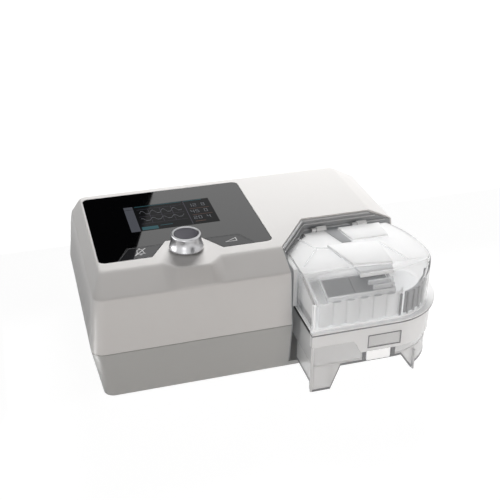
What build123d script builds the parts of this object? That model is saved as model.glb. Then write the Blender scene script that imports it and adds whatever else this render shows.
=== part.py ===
from build123d import *
from math import cos, hypot, radians, sin
import os

# A bedside breathing machine with a slide-out water tank, in millimetres.
# +X is to the right, +Z is up and the front faces -Y.
# The origin is on the table, under the middle of the whole machine.
# Places on the body are measured from its seam outline: across from the left
# and back from the front.

# Body outline at the seam, and how far other pieces reach past it
body_width = 265.0
body_depth = 163.5
tank_side_reach = 6.3
tank_front_reach = 32.0
port_reach = 20.0

# Body heights above the table
foot_height = 2.0
seam_height = 45.4
top_height = 98.6
crease_height = top_height - 10.2

# How far the body draws in from the seam outline at its bottom, crease and top
bottom_inset = 6.8
crease_inset = 5.2
top_inset_left = 13.0
top_inset_right = 25.3
top_inset_front = 28.0
top_inset_back = 7.3
bottom_corner = 8.0
seam_corner = 9.0
crease_corner = 8.0
top_corner = 4.0
body_wall = 2.2
fit_clearance = 0.1

# How far a cutting shape runs past what it cuts
over = 1.0
far = 30.0
top_thickness = 3.4
seam_groove_depth = 0.5
seam_groove_height = 0.8

# The swelling of the top round the dial
bulge_half_width = 21.3
bulge_front_half_width = 12.8
bulge_reach = 10.3
bulge_foot_half_width = 19.0
bulge_overlap = 6.0
top_edge_round = 1.6

# Bay for the water tank, cut from the front right of the body
bay_width = 113.2
bay_left = body_width - bay_width
bay_chamfer_start = 28.2
bay_chamfer_end = bay_left + 28.9
bay_back = 67.3
bay_floor_thickness = 4.0
bay_margin = 20.0
liner_thickness = 1.5
liner_rim_drop = 1.2
liner_back_thickness = 3.0
liner_step_height = top_height - 14.6
liner_side_margin = 1.6

# Glass front panel, its notch for the dial and its two keys
panel_left = 14.6
panel_right = bay_left - 3.6
panel_front = 39.5
panel_back = body_depth - 14.3
panel_corner = 5.0
glass_thickness = 1.8
glass_clearance = 0.25
glass_ledge = 3.0
notch_half_width = 27.6
notch_back_half_width = 13.6
notch_depth = 21.5
notch_run_out = 5.0
key_depth = 17.0
key_lean = 9.5
key_foot = 25.2
key_thickness = 3.0
key_gap = 0.35
key_travel = 0.5
key_stem_radius = 2.0
key_stem_length = 2.2
key_stem_shift = 4.0

# Dial
dial_across = (panel_left + panel_right) / 2
dial_back = panel_front + 6.2
dial_base_radius = 13.2
dial_neck_radius = 11.3
dial_top_radius = 11.4
dial_disc_radius = 8.9
dial_disc_thickness = 1.2
dial_disc_recess = 0.5
dial_height = 13.2
dial_gap = 1.0
dial_skirt_height = 2.4
dial_skirt_wall = 2.4
dial_rim = 0.6
dial_recess_under = 1.0
dial_neck_height = 3.6
dial_head_height = 2.2
dial_head_radius = 11.7
dial_edge = 0.5
dial_travel = 0.6
shaft_radius = 2.5
running_clearance = 0.05
shaft_hole_clearance = 0.4
bushing_radius = 4.0
encoder_side = 12.0
encoder_gap = 0.3
plunger_radius = 1.8
plunger_height = 1.4

# Display
display_across = dial_across
display_width = 80.0
display_margin_front = 17.0
display_margin_back = 17.2
display_front = panel_front + notch_depth + display_margin_front
display_rear = panel_back - display_margin_back
display_depth = display_rear - display_front
display_back_place = (display_front + display_rear) / 2
display_thickness = 3.0
display_gap = 0.2

# Circuit boards and the posts that carry them
board_thickness = 1.6
panel_board_height = top_height - 10.2
panel_board_left = 20.0
panel_board_right = bay_left - 8.8
panel_board_front = 33.5
panel_board_back = body_depth - 21.5
panel_board_post = 7.0
panel_board_post_back = 21.0
post_radius = 3.2
post_hole_radius = 1.1
board_screw_radius = 1.05
board_screw_length = 5.0
board_screw_head_radius = 2.2
board_screw_head_height = 1.4
main_board_height = 30.0
main_board_right = bay_left - 2.8
main_board_width = 34.0
main_board_left = main_board_right - main_board_width
main_board_front = 28.0
main_board_back = body_depth - 31.5
main_board_post = 5.0
switch_side = 6.0
coil_place = (17.0, 40.0)
coil_radius = 8.0
coil_height = 12.0
capacitor_place = (10.0, 62.0)
capacitor_spread = 13.0
capacitor_radius = 5.0
capacitor_height = 14.0
display_frame_wall = 3.0

# Case screws and feet
case_post_radius = 4.2
case_screw_radius = 1.5
case_screw_hole = 1.6
case_screw_head_radius = 3.0
case_screw_head_height = 2.0
case_screw_head_gap = 0.3
case_screw_head_sink = 1.0
case_screw_reach = 10.0
case_post_inset = 12.5
post_overlap = 0.5
foot_radius = 7.0
foot_socket_depth = 1.0
foot_inset = 23.0
foot_inset_right = 31.0

# Muffler box, foam, blower and its mounts
muffler_left = 22.0
muffler_gap = 5.0
muffler_right = main_board_left - muffler_gap
muffler_margin = 9.0
muffler_back = body_depth - 17.5
muffler_front = muffler_back - 84.0
muffler_height = 42.0
muffler_wall = 2.0
muffler_foam_gap = 0.3
muffler_foam_thickness = 16.0
muffler_inlet_margin = 2.0
blower_across = (muffler_left + muffler_right) / 2
blower_back_place = muffler_back - 42.0
mount_height = 5.0
mount_radius = 5.0
volute_radius = (muffler_right - muffler_left) / 2 - muffler_margin
volute_headroom = 11.2
mount_spread = volute_radius * 26 / 35
volute_wall = 2.0
volute_cover = 2.5
nozzle_reach = 14.0
blower_eye_radius = volute_radius * 13 / 35
impeller_radius = volute_radius * 24 / 35
impeller_disc = 1.5
impeller_blade_thickness = 1.2
impeller_blades = 9
impeller_hub_radius = 5.0
impeller_rim = 1.0
impeller_clearance = 1.0
impeller_blade_turn = 18.0
motor_radius = volute_radius * 15 / 35
motor_shaft_radius = 1.5
motor_shaft_gap = 0.5

# Air duct from the blower to the tank, and from the tank to the rear port
duct_radius = 11.0
duct_wall = 1.5
duct_run_back = blower_back_place + 26.0
port_height = 67.0
inlet_across = bay_left + 51.2
outlet_across = bay_left + 84.2
outlet_port_radius = 11.0
outlet_port_wall = 1.8
outlet_hole_depth = 12.0
outlet_collar_radius = 15.0
outlet_collar_thickness = 3.0
seal_thickness = 2.4
seal_radius = 12.0
seal_bore = 8.0
seal_gap = 0.3

# Air inlet on the back
filter_shift = 4.0
filter_across = blower_across - filter_shift
filter_width = 46.0
filter_height = 20.0
filter_low = 15.0
filter_depth = 6.0
filter_frame_wall = 2.0
filter_gap = 0.3
filter_ledge = 1.0
grille_slots = 6
grille_slot_height = 1.6
grille_gap = 0.3
filter_cover_thickness = 2.0
filter_cover_margin = 4.0

# Power inlet and memory card on the back
power_across = bay_left - 23.8
power_height = 26.0
power_radius = 5.0
power_body_side = 14.0
power_depth = 10.0
power_floor = 2.0
power_contact_radius = 0.7
power_contact_length = 3.5
power_contact_spread = 2.4
card_across = bay_left + 16.2
card_height = 26.0
card_width = 24.0
card_length = 32.0
card_thickness = 2.1
card_gap = 0.3
card_reader_wall = 1.6
card_mouth_inset = 1.0
card_pocket_depth = 10.0

# Heater under the tank
heater_width = 78.0
heater_left = bay_left + 20.2
heater_right = heater_left + heater_width
heater_front = 9.0
heater_back = 48.0
heater_corner = 6.0
heater_frame_height = 6.0
heater_frame_wall = 2.4
heater_plate_thickness = 1.6
heater_plate_gap = 0.5
heater_top = 16.7
heater_skirt = 5.0
spring_radius = 3.0
spring_wire = 0.5
spring_turns = 4
spring_seat_gap = 0.3
spring_inset = 14.0
heater_floor = 1.5
heater_skirt_wall = 1.5

# Water tank shell
tank_left = bay_left + 5.1
tank_width = 107.2
tank_right = tank_left + tank_width
tank_front = 30.3
tank_back = bay_back - 9.7
tank_round = 41.1
tank_right_back = tank_right - 13.1
tank_right_waist = tank_right - 3.1
tank_waist_place = tank_back - 22.1
tank_bay_gap = 1.2
tank_chamfer_end = tank_back - 10.6
tank_corner_across = bay_left + 26.2
tank_corner_back = tank_back - 5.1
tank_wall = 1.8
flange_side_grow = 7.2
flange_left_grow = 0.5
flange_thickness = 2.0
apron_left_grow = 0.0
apron_front_grow = 1.0
apron_side_grow = 3.6
apron_wall = 1.6
apron_gap = 0.4
apron_low = 31.6
apron_low_left = 43.0
apron_step = tank_left + 33.1
apron_slant = 7.0
apron_return = 4.0

# Water tank heights
tank_foot_low = 1.2
skirt_side_low = 7.7
arch_height = 21.8
vessel_low = 22.6
sump_low = 17.0
rim_height = 52.9
gasket_thickness = 1.3
lid_low = 54.5
lid_top = top_height - 8.0
lid_slope_top = 4.1
lid_slope_drop = 9.0
lid_wall_top = 2.0

# Water tank feet and arch seen from the front
arch_left_low = tank_left + 16.7
arch_left_high = tank_left + 24.1
arch_right_high = tank_right - 33.1
arch_right_low = tank_right - 19.1
skirt_side_front = 25.0
skirt_back_end = 6.0

# Raised grip on the lid
grip_left = tank_left + 38.1
grip_width = 45.0
grip_right = grip_left + grip_width
grip_front = 14.0
grip_back = 33.0
grip_top = lid_top + 2.6
grip_wall = 1.8

# Lid hinge
hinge_back = tank_back + 2.6
hinge_pin_radius = 1.25
hinge_barrel_radius = 2.6
hinge_left = tank_left + 30.1
hinge_spread = 35.0
hinge_right = hinge_left + hinge_spread
hinge_ear_width = 4.0
hinge_ear_thickness = 2.6
hinge_ear_swell = 0.4
ear_foot = 3.0
hinge_side_gap = 0.3
hinge_knuckle = 8.0

# Lid latch in its window
latch_left = tank_left + 45.6
latch_width = 25.0
latch_right = latch_left + latch_width
latch_low = 36.0
latch_high = 45.5
latch_gap = 0.4
latch_thickness = 0.8
latch_travel = 0.6
latch_stop_gap = 0.3
catch_left = tank_left + 45.1
catch_width = 19.0
catch_right = catch_left + catch_width
catch_low = 22.8
catch_high = 31.0
catch_thickness = 1.0

# Tubes and baffle inside the tank
spigot_radius = 9.5
spigot_bore = 7.5
baffle_wall = 1.2
baffle_inset = 2.6
baffle_ribs = 10
baffle_rib_depth = 1.2
baffle_rib_width = 1.0
baffle_high = lid_top - 11.6
baffle_left = tank_left + 7.1
baffle_width = 58.0
baffle_right = baffle_left + baffle_width
splash_plate_thickness = 1.5
splash_opening_margin = 10.0

# Conductive bottom of the tank
metal_thickness = 1.2
metal_margin = 6.0
sump_margin = 3.0

# Overall size and the body's place in it
overall_width = body_width + tank_side_reach
overall_depth = tank_front_reach + body_depth + port_reach
seam_left = -overall_width / 2
seam_front = -overall_depth / 2 + tank_front_reach
bay_floor = foot_height + bay_floor_thickness
hinge_height = lid_top
splash_plate_low = lid_low + flange_thickness
baffle_low = splash_plate_low + splash_plate_thickness
spigot_end = bay_back - liner_back_thickness - seal_gap
top_underside = top_height - top_thickness
glass_low = top_height - glass_thickness
key_low = top_height - key_thickness
screw_head_top = foot_height + case_screw_head_height + case_screw_head_sink
plunger_low = panel_board_height + board_thickness + dial_travel + fit_clearance
blower_low = muffler_height + foot_height + body_wall + mount_height
volute_height = panel_board_height - volute_headroom - blower_low
impeller_blade_height = volute_height * 4 / 13
motor_height = volute_height * 9 / 26


def across(place):
    """X of a place measured from the body's left seam."""
    return seam_left + place


def back(place):
    """Y of a place measured from the body's front seam."""
    return seam_front + place


def block(left, right, front, rear, low, high):
    """Box between places on the body and two heights."""
    centre = ((across(left) + across(right)) / 2, (back(front) + back(rear)) / 2, (low + high) / 2)
    return Pos(*centre) * Box(right - left, rear - front, high - low)


def upright(place_across, place_back, low, high, radius):
    """Vertical cylinder between two heights."""
    centre = (across(place_across), back(place_back), (low + high) / 2)
    return Pos(*centre) * Cylinder(radius, high - low)


def level_y(place_across, front, rear, height, radius):
    """Cylinder along Y between two places."""
    centre = (across(place_across), (back(front) + back(rear)) / 2, height)
    return Pos(*centre) * Rot(90, 0, 0) * Cylinder(radius, rear - front)


def level_x(left, right, place_back, height, radius):
    """Cylinder along X between two places."""
    centre = ((across(left) + across(right)) / 2, back(place_back), height)
    return Pos(*centre) * Rot(0, 90, 0) * Cylinder(radius, right - left)


def plan(points):
    """Flat face through places on the body."""
    return make_face(Polyline([(across(x), back(y)) for x, y in points], close=True))


def slab(face, low, high):
    """Plan face raised between two heights."""
    return extrude(Pos(0, 0, low) * face, amount=high - low)


def group(shapes):
    """Separate solids kept together in one piece file."""
    return Compound([solid for shape in shapes for solid in shape.solids()])


def save(shape, name):
    """Write one piece."""
    export_step(shape, os.path.join("parts", name + ".step"))


# Body outline

def section(left, right, front, rear, corner, height):
    """Rounded rectangle drawn in from the seam outline."""
    width = body_width - left - right
    depth = body_depth - front - rear
    centre = (across(left + width / 2), back(front + depth / 2), height)
    return Pos(*centre) * RectangleRounded(width, depth, corner)


def even_section(inset, corner, height):
    """Section drawn in alike on all four sides."""
    return section(inset, inset, inset, inset, corner, height)


def lower_block(inset, low):
    """Body below the seam, drawn in by a wall."""
    bottom = even_section(bottom_inset + inset, bottom_corner - inset, low)
    seam = even_section(inset, seam_corner - inset, seam_height)
    return loft([bottom, seam], ruled=True)


def upper_block(inset, high):
    """Body above the seam, drawn in by a wall."""
    seam = even_section(inset, seam_corner - inset, seam_height)
    crease = even_section(crease_inset + inset, crease_corner - inset, crease_height)
    sides = [top_inset_left, top_inset_right, top_inset_front, top_inset_back]
    top = section(*[side + inset for side in sides], top_corner, high)
    return loft([seam, crease], ruled=True) + loft([crease, top], ruled=True)


def bulge():
    """Swelling that carries the dial forward of the top's front edge."""
    root = top_inset_front + bulge_overlap
    foot = [
        (dial_across - bulge_foot_half_width, crease_inset),
        (dial_across + bulge_foot_half_width, crease_inset),
        (dial_across + bulge_foot_half_width, root),
        (dial_across - bulge_foot_half_width, root),
    ]
    head = [
        (dial_across - bulge_front_half_width, top_inset_front - bulge_reach),
        (dial_across + bulge_front_half_width, top_inset_front - bulge_reach),
        (dial_across + bulge_half_width, root),
        (dial_across - bulge_half_width, root),
    ]
    return loft([Pos(0, 0, crease_height) * plan(foot), Pos(0, 0, top_height) * plan(head)], ruled=True)


def bay_line(offset):
    """Corners of the bay's wall line, moved into the bay by an offset."""
    run_x = bay_chamfer_end - bay_left
    run_y = bay_back - bay_chamfer_start
    length = hypot(run_x, run_y)
    start_x = bay_left + offset * run_y / length
    start_y = bay_chamfer_start - offset * run_x / length
    left_x = bay_left + offset
    back_y = bay_back - offset
    near = (left_x, start_y + (left_x - start_x) * run_y / run_x)
    far = (start_x + (back_y - start_y) * run_x / run_y, back_y)
    return near, far


def bay_plan(offset):
    """Plan of the bay out past the front and right of the body."""
    near, far = bay_line(offset)
    front = -bay_margin
    right = body_width + bay_margin
    return plan([(near[0], front), near, far, (right, far[1]), (right, front)])


def case_posts():
    """Places of the posts that the case screws go up through."""
    near = case_post_inset
    rear = body_depth - case_post_inset
    return [(near, near), (near, rear), (body_width - near, rear), (bay_left - near, near)]


# Housings

def lower_housing():
    """Grey tray with the floor of the tank bay."""
    floor_top = foot_height + body_wall
    cavity = lower_block(body_wall, floor_top) - slab(bay_plan(-body_wall), 0, seam_height)
    shell = lower_block(0, foot_height) - cavity
    groove = even_section(-over, seam_corner, 0) - even_section(seam_groove_depth, seam_corner, 0)
    shell -= slab(groove, seam_height - seam_groove_height, seam_height + over)
    shell -= slab(bay_plan(0), bay_floor, seam_height + over)
    for x, y in case_posts():
        shell += upright(x, y, floor_top, seam_height, case_post_radius) & lower_block(
            post_overlap, foot_height,
        )
        shell -= upright(x, y, 0, seam_height + over, case_screw_hole)
        shell -= upright(x, y, 0, screw_head_top, case_screw_head_radius + case_screw_head_gap)
    for x, y in main_board_posts():
        shell += upright(x, y, floor_top, main_board_height, post_radius)
        shell -= upright(
            x, y, main_board_height - board_screw_length - over, main_board_height, post_hole_radius,
        )
    for x, y in foot_places():
        shell -= upright(
            x, y, foot_height - over, foot_height + foot_socket_depth, foot_radius + fit_clearance,
        )
    shell -= filter_pocket()
    shell -= power_pocket()
    shell -= card_pocket()
    return shell


def upper_housing():
    """White top cover with the pocket for the glass panel."""
    cavity = upper_block(body_wall, top_underside) - slab(bay_plan(-body_wall), 0, top_height)
    body = upper_block(0, top_height)
    top_edges = body.edges().filter_by(lambda edge: edge.center().Z > top_height - fit_clearance)
    shell = fillet(list(top_edges), top_edge_round) + bulge() - cavity
    shell -= slab(bay_plan(0), 0, top_height + over)
    shell -= slab(panel_plan(glass_clearance), glass_low, top_height + over)
    shell -= slab(key_plan(-1, key_gap), 0, top_height + over)
    shell -= slab(key_plan(1, key_gap), 0, top_height + over)
    shell -= slab(panel_window(), top_underside - over, glass_low + over)
    bushing_hole = bushing_radius + shaft_hole_clearance
    shell -= upright(dial_across, dial_back, top_underside - over, top_height + over, bushing_hole)
    for x, y in case_posts():
        post = upright(x, y, seam_height, top_underside + post_overlap, case_post_radius)
        post &= upper_block(post_overlap, top_height - post_overlap)
        shell += post - upright(x, y, 0, seam_height + case_screw_reach + over, case_screw_radius)
    board_top = panel_board_height + board_thickness
    for x, y in panel_board_posts():
        post = upright(x, y, board_top, top_underside + post_overlap, post_radius)
        shell += post - upright(x, y, 0, board_top + board_screw_length - board_thickness, post_hole_radius)
    shell -= duct_hole(inlet_across)
    shell -= duct_hole(outlet_across)
    outlet_hole = duct_radius + running_clearance
    shell -= level_y(
        outlet_across, body_depth - outlet_hole_depth, body_depth + over, port_height, outlet_hole,
    )
    return shell


def duct_hole(place):
    """Hole in the back wall of the bay for a duct."""
    return level_y(
        place, bay_back - over, bay_back + body_wall + over, port_height, duct_radius + running_clearance,
    )


def bay_liner():
    """Dark frame round the back of the bay, thicker below its step."""
    high = top_height - liner_rim_drop
    strip = slab(bay_plan(0) - bay_plan(liner_thickness), bay_floor, high)
    near, far = bay_line(0)
    step = block(far[0], body_width, bay_back - liner_back_thickness, bay_back, bay_floor, liner_step_height)
    body = lower_block(liner_side_margin, foot_height) + upper_block(liner_side_margin, high)
    liner = (strip + step) & body
    seat = bay_back - liner_back_thickness
    for place in (inlet_across, outlet_across):
        liner -= level_y(place, seat - over, bay_back + over, port_height, seal_bore)
        liner -= level_y(place, seat - over, seat + seal_thickness, port_height, seal_radius + fit_clearance)
    return liner


def foot_places():
    """Places of the rubber feet under the body."""
    near = foot_inset
    rear = body_depth - foot_inset
    right = body_width - foot_inset_right
    return [(near, near), (near, rear), (right, rear), (right, near)]


def rubber_feet():
    """Four soft feet pressed into shallow sockets."""
    high = foot_height + foot_socket_depth
    return group([upright(x, y, 0, high, foot_radius) for x, y in foot_places()])


def case_screws():
    """Screws that go up through the lower housing's posts."""
    head_low = screw_head_top - case_screw_head_height
    shank_high = seam_height + case_screw_reach
    screws = []
    for x, y in case_posts():
        head = upright(x, y, head_low, screw_head_top, case_screw_head_radius)
        shank = upright(x, y, screw_head_top, shank_high, case_screw_radius - running_clearance)
        screws.append(head + shank)
    return group(screws)


# Glass panel, keys and display

def notch_outline(grow):
    """Corners of the notch that the dial's bulge fills."""
    lean = (notch_half_width - notch_back_half_width) / notch_depth
    front = panel_front - notch_run_out
    half_front = notch_half_width + notch_run_out * lean + grow
    half_back = notch_back_half_width + grow
    rear = panel_front + notch_depth
    return [
        (dial_across - half_front, front),
        (dial_across - half_back, rear),
        (dial_across + half_back, rear),
        (dial_across + half_front, front),
    ]


def panel_plan(grow):
    """Glass outline with the notch for the dial."""
    width = panel_right - panel_left + 2 * grow
    depth = panel_back - panel_front + 2 * grow
    centre = (across((panel_left + panel_right) / 2), back((panel_front + panel_back) / 2))
    outline = Pos(*centre) * RectangleRounded(width, depth, panel_corner)
    return outline - plan(notch_outline(-grow))


def panel_window():
    """Opening through the top under the glass, inside its ledge."""
    margin = glass_ledge
    rear = panel_back - margin
    front = panel_front + notch_depth + margin
    return plan([
        (panel_left + margin, front),
        (panel_right - margin, front),
        (panel_right - margin, rear),
        (panel_left + margin, rear),
    ])


def key_plan(side, grow):
    """Key beside the notch: side is -1 for the left one and 1 for the right one."""
    lean = (notch_half_width - notch_back_half_width) / notch_depth
    rear = panel_front + key_depth + grow
    front = panel_front - grow
    outer = notch_half_width + key_foot + grow
    inner_rear = notch_half_width - (key_depth + grow) * lean - grow
    inner_front = notch_half_width + grow * lean - grow
    return plan([
        (dial_across + side * outer, front),
        (dial_across + side * (outer - key_lean), rear),
        (dial_across + side * inner_rear, rear),
        (dial_across + side * inner_front, front),
    ])


def glass_panel():
    """Dark glass that lies flush in the top, cut round the keys."""
    glass = panel_plan(0) - key_plan(-1, key_gap) - key_plan(1, key_gap)
    return slab(glass, glass_low, top_height)


def key(side):
    """Sprung key, flush with the glass, with a stem above its switch."""
    place = key_stem_place(side)
    stem = upright(place[0], place[1], key_low - key_stem_length, key_low, key_stem_radius)
    return slab(key_plan(side, 0), key_low, top_height) + stem


def key_stem_place(side):
    """Place of a key's stem, near the key's middle."""
    reach = notch_half_width + key_foot / 2 - key_stem_shift
    return (dial_across + side * reach, panel_front + key_depth / 2)


def display_module():
    """Liquid crystal display close under the glass."""
    high = glass_low - display_gap
    half_width = display_width / 2
    half_depth = display_depth / 2
    return block(
        display_across - half_width, display_across + half_width,
        display_back_place - half_depth, display_back_place + half_depth,
        high - display_thickness, high,
    )


def display_frame():
    """Tray that carries the display on the panel board."""
    high = glass_low - display_gap - display_thickness
    half_width = display_width / 2
    half_depth = display_depth / 2
    wall = display_frame_wall
    low = panel_board_height + board_thickness
    ends = [
        (display_across - half_width, display_across + half_width),
        (display_across - half_width + wall, display_across + half_width - wall),
    ]
    sides = [
        (display_back_place - half_depth, display_back_place + half_depth),
        (display_back_place - half_depth + wall, display_back_place + half_depth - wall),
    ]
    return block(*ends[0], *sides[0], low, high) - block(*ends[1], *sides[1], low - over, high - over)


# Boards

def panel_board_posts():
    """Places of the screws that hold the panel board."""
    left = panel_board_left + panel_board_post
    right = panel_board_right - panel_board_post
    place = panel_board_front + panel_board_post_back
    return [(left, place), (right, place)]


def main_board_posts():
    """Places of the posts that carry the main board."""
    left = main_board_left + main_board_post
    right = main_board_right - main_board_post
    front = main_board_front + main_board_post
    rear = main_board_back - main_board_post
    return [(left, front), (right, front), (left, rear), (right, rear)]


def panel_board():
    """Board behind the glass that holds the dial, switches and display."""
    high = panel_board_height + board_thickness
    board = block(
        panel_board_left, panel_board_right, panel_board_front, panel_board_back, panel_board_height, high,
    )
    for x, y in panel_board_posts():
        board -= upright(x, y, panel_board_height - over, high + over, post_hole_radius + fit_clearance)
    return board


def main_board():
    """Board with the blower drive, beside the muffler box."""
    high = main_board_height + board_thickness
    board = block(
        main_board_left, main_board_right, main_board_front, main_board_back, main_board_height, high,
    )
    for x, y in main_board_posts():
        board -= upright(x, y, main_board_height - over, high + over, post_hole_radius + fit_clearance)
    return board


def board_screws():
    """Small screws of both boards."""
    screws = []
    for x, y in panel_board_posts():
        seat = panel_board_height
        head = upright(x, y, seat - board_screw_head_height, seat, board_screw_head_radius)
        screws.append(head + upright(x, y, seat, seat + board_screw_length, board_screw_radius))
    for x, y in main_board_posts():
        seat = main_board_height + board_thickness
        head = upright(x, y, seat, seat + board_screw_head_height, board_screw_head_radius)
        screws.append(head + upright(x, y, seat - board_screw_length, seat, board_screw_radius))
    return group(screws)


def key_switches():
    """Switch bodies under the two keys, a travel below their stems."""
    low = panel_board_height + board_thickness
    high = key_low - key_stem_length - key_travel - fit_clearance
    half = switch_side / 2
    switches = []
    for side in (-1, 1):
        x, y = key_stem_place(side)
        switches.append(block(x - half, x + half, y - half, y + half, low, high))
    return group(switches)


def blower_drive():
    """Power parts standing on the main board."""
    low = main_board_height + board_thickness
    coil_x = main_board_left + coil_place[0]
    parts = [upright(coil_x, main_board_front + coil_place[1], low, low + coil_height, coil_radius)]
    for index in range(2):
        x = main_board_left + capacitor_place[0] + capacitor_spread * index
        y = main_board_front + capacitor_place[1]
        parts.append(upright(x, y, low, low + capacitor_height, capacitor_radius))
    return group(parts)


# Dial

def dial_ring():
    """Turned metal dial with a flared skirt and a recess for its disc."""
    low = top_height + dial_gap
    high = top_height + dial_height
    seat = high - dial_disc_recess - dial_disc_thickness
    bore = shaft_radius + running_clearance
    outline = Polyline([
        (bore, low + dial_recess_under),
        (dial_base_radius - dial_skirt_wall, low + dial_recess_under),
        (dial_base_radius - dial_skirt_wall, low),
        (dial_base_radius - dial_rim, low),
        (dial_base_radius, low + dial_rim),
        (dial_base_radius - fit_clearance, low + dial_skirt_height),
        (dial_neck_radius, high - dial_neck_height),
        (dial_head_radius, high - dial_head_height),
        (dial_top_radius, high - dial_edge),
        (dial_top_radius - dial_edge, high),
        (dial_disc_radius + dial_rim, high),
        (dial_disc_radius, high - dial_disc_recess),
        (dial_disc_radius, seat),
        (bore, seat),
    ], close=True)
    face = make_face(Plane.XZ * outline)
    return Pos(across(dial_across), back(dial_back), 0) * revolve(face, Axis.Z)


def dial_disc():
    """Dark disc set into the top of the dial."""
    high = top_height + dial_height - dial_disc_recess
    return upright(dial_across, dial_back, high - dial_disc_thickness, high, dial_disc_radius - fit_clearance)


def dial_shaft():
    """Steel shaft from the dial down into the rotary encoder."""
    low = plunger_low + plunger_height
    high = top_height + dial_height - dial_disc_recess - dial_disc_thickness
    return upright(dial_across, dial_back, low, high, shaft_radius)


def dial_encoder():
    """Rotary encoder body with its bushing through the top."""
    low = panel_board_height + board_thickness
    half = encoder_side / 2
    body = block(
        dial_across - half, dial_across + half, dial_back - half, dial_back + half,
        low, top_underside - encoder_gap,
    )
    body += upright(
        dial_across, dial_back, low, top_height + dial_gap - dial_travel - 2 * fit_clearance, bushing_radius,
    )
    return body - upright(
        dial_across, dial_back, low - over, top_height + far, shaft_radius + running_clearance,
    )


def dial_plunger():
    """Push switch plunger under the dial's shaft."""
    high = plunger_low + plunger_height
    return upright(dial_across, dial_back, plunger_low, high, plunger_radius)


# Blower and air path

def muffler_box():
    """Open tray that quietens the air on its way to the blower."""
    low = foot_height + body_wall
    high = low + muffler_height - muffler_wall
    box = block(muffler_left, muffler_right, muffler_front, muffler_back, low, high)
    wall = muffler_wall
    inside = block(
        muffler_left + wall, muffler_right - wall, muffler_front + wall, muffler_back - wall,
        low + wall, high + over,
    )
    half = filter_width / 2 - muffler_inlet_margin
    inlet = block(
        filter_across - half, filter_across + half, muffler_back - wall - over, muffler_back + over,
        filter_low + muffler_inlet_margin, filter_low + filter_height - muffler_inlet_margin,
    )
    return box - inside - inlet


def muffler_lid():
    """Lid of the muffler box with the blower's eye through it."""
    high = foot_height + body_wall + muffler_height
    low = high - muffler_wall
    lid = block(muffler_left, muffler_right, muffler_front, muffler_back, low, high)
    return lid - upright(blower_across, blower_back_place, low - over, high + over, blower_eye_radius)


def muffler_foam():
    """Foam blocks that line both ends of the muffler box."""
    low = foot_height + body_wall + muffler_wall
    high = foot_height + body_wall + muffler_height - muffler_wall - muffler_foam_gap
    front = muffler_front + muffler_wall + muffler_foam_gap
    rear = muffler_back - muffler_wall - muffler_foam_gap
    thickness = muffler_foam_thickness
    inside_left = muffler_left + muffler_wall + muffler_foam_gap
    inside_right = muffler_right - muffler_wall - muffler_foam_gap
    return group([
        block(inside_left, inside_left + thickness, front, rear, low, high),
        block(inside_right - thickness, inside_right, front, rear, low, high),
    ])


def mount_places():
    """Places of the soft mounts under the blower."""
    places = []
    for step in range(4):
        angle = radians(45 + 90 * step)
        x = blower_across + mount_spread * cos(angle)
        y = blower_back_place + mount_spread * sin(angle)
        places.append((x, y))
    return places


def blower_mounts():
    """Four silicone rollers that carry the blower."""
    low = foot_height + body_wall + muffler_height
    return group([upright(x, y, low, blower_low, mount_radius) for x, y in mount_places()])


def blower_volute():
    """Lower half of the blower with its outlet nozzle."""
    high = blower_low + volute_height
    shell = upright(blower_across, blower_back_place, blower_low, high, volute_radius)
    nozzle_end = blower_across + volute_radius + nozzle_reach
    run = duct_run_back
    shell += level_x(blower_across, nozzle_end, run, port_height, duct_radius)
    shell -= upright(
        blower_across, blower_back_place, blower_low + volute_wall, high + over, volute_radius - volute_wall,
    )
    shell -= level_x(blower_across, nozzle_end + over, run, port_height, duct_radius - duct_wall)
    shell -= upright(blower_across, blower_back_place, blower_low - over, high, blower_eye_radius)
    shell -= block(
        blower_across - volute_radius - over, blower_across + volute_radius - over,
        blower_back_place - volute_radius - over, blower_back_place + volute_radius + far, high, high + far,
    )
    return shell


def blower_cover():
    """Upper half of the blower that carries the motor."""
    low = blower_low + volute_height
    high = low + volute_cover
    cover = upright(blower_across, blower_back_place, low, high, volute_radius)
    return cover - upright(
        blower_across, blower_back_place, low - over, high + over, motor_shaft_radius + shaft_hole_clearance,
    )


def blower_motor():
    """Brushless motor hung under the cover inside the blower."""
    high = blower_low + volute_height
    motor = upright(blower_across, blower_back_place, high - motor_height, high, motor_radius)
    hole = motor_shaft_radius + running_clearance
    return motor - upright(blower_across, blower_back_place, high - motor_height - over, high + over, hole)


def impeller():
    """Bladed wheel with its shaft up into the motor."""
    motor_low = blower_low + volute_height - motor_height
    disc_high = motor_low - impeller_clearance
    disc_low = disc_high - impeller_disc
    wheel = upright(blower_across, blower_back_place, disc_low, disc_high, impeller_radius)
    low = disc_low - impeller_blade_height
    wheel += upright(blower_across, blower_back_place, low, disc_low, impeller_hub_radius)
    length = impeller_radius - impeller_hub_radius - impeller_rim
    middle = (low + disc_low) / 2
    for blade in range(impeller_blades):
        angle = 360 * blade / impeller_blades
        plate = Pos(impeller_hub_radius + length / 2 + impeller_rim / 3, 0, middle) * Rot(
            0, 0, impeller_blade_turn,
        )
        plate = plate * Box(length, impeller_blade_thickness, disc_low - low)
        plate &= Pos(0, 0, middle) * Cylinder(impeller_radius, disc_low - low)
        wheel += Pos(across(blower_across), back(blower_back_place), 0) * Rot(0, 0, angle) * plate
    shaft_high = blower_low + volute_height - motor_shaft_gap
    wheel += upright(blower_across, blower_back_place, disc_high, shaft_high, motor_shaft_radius)
    return wheel


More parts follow.
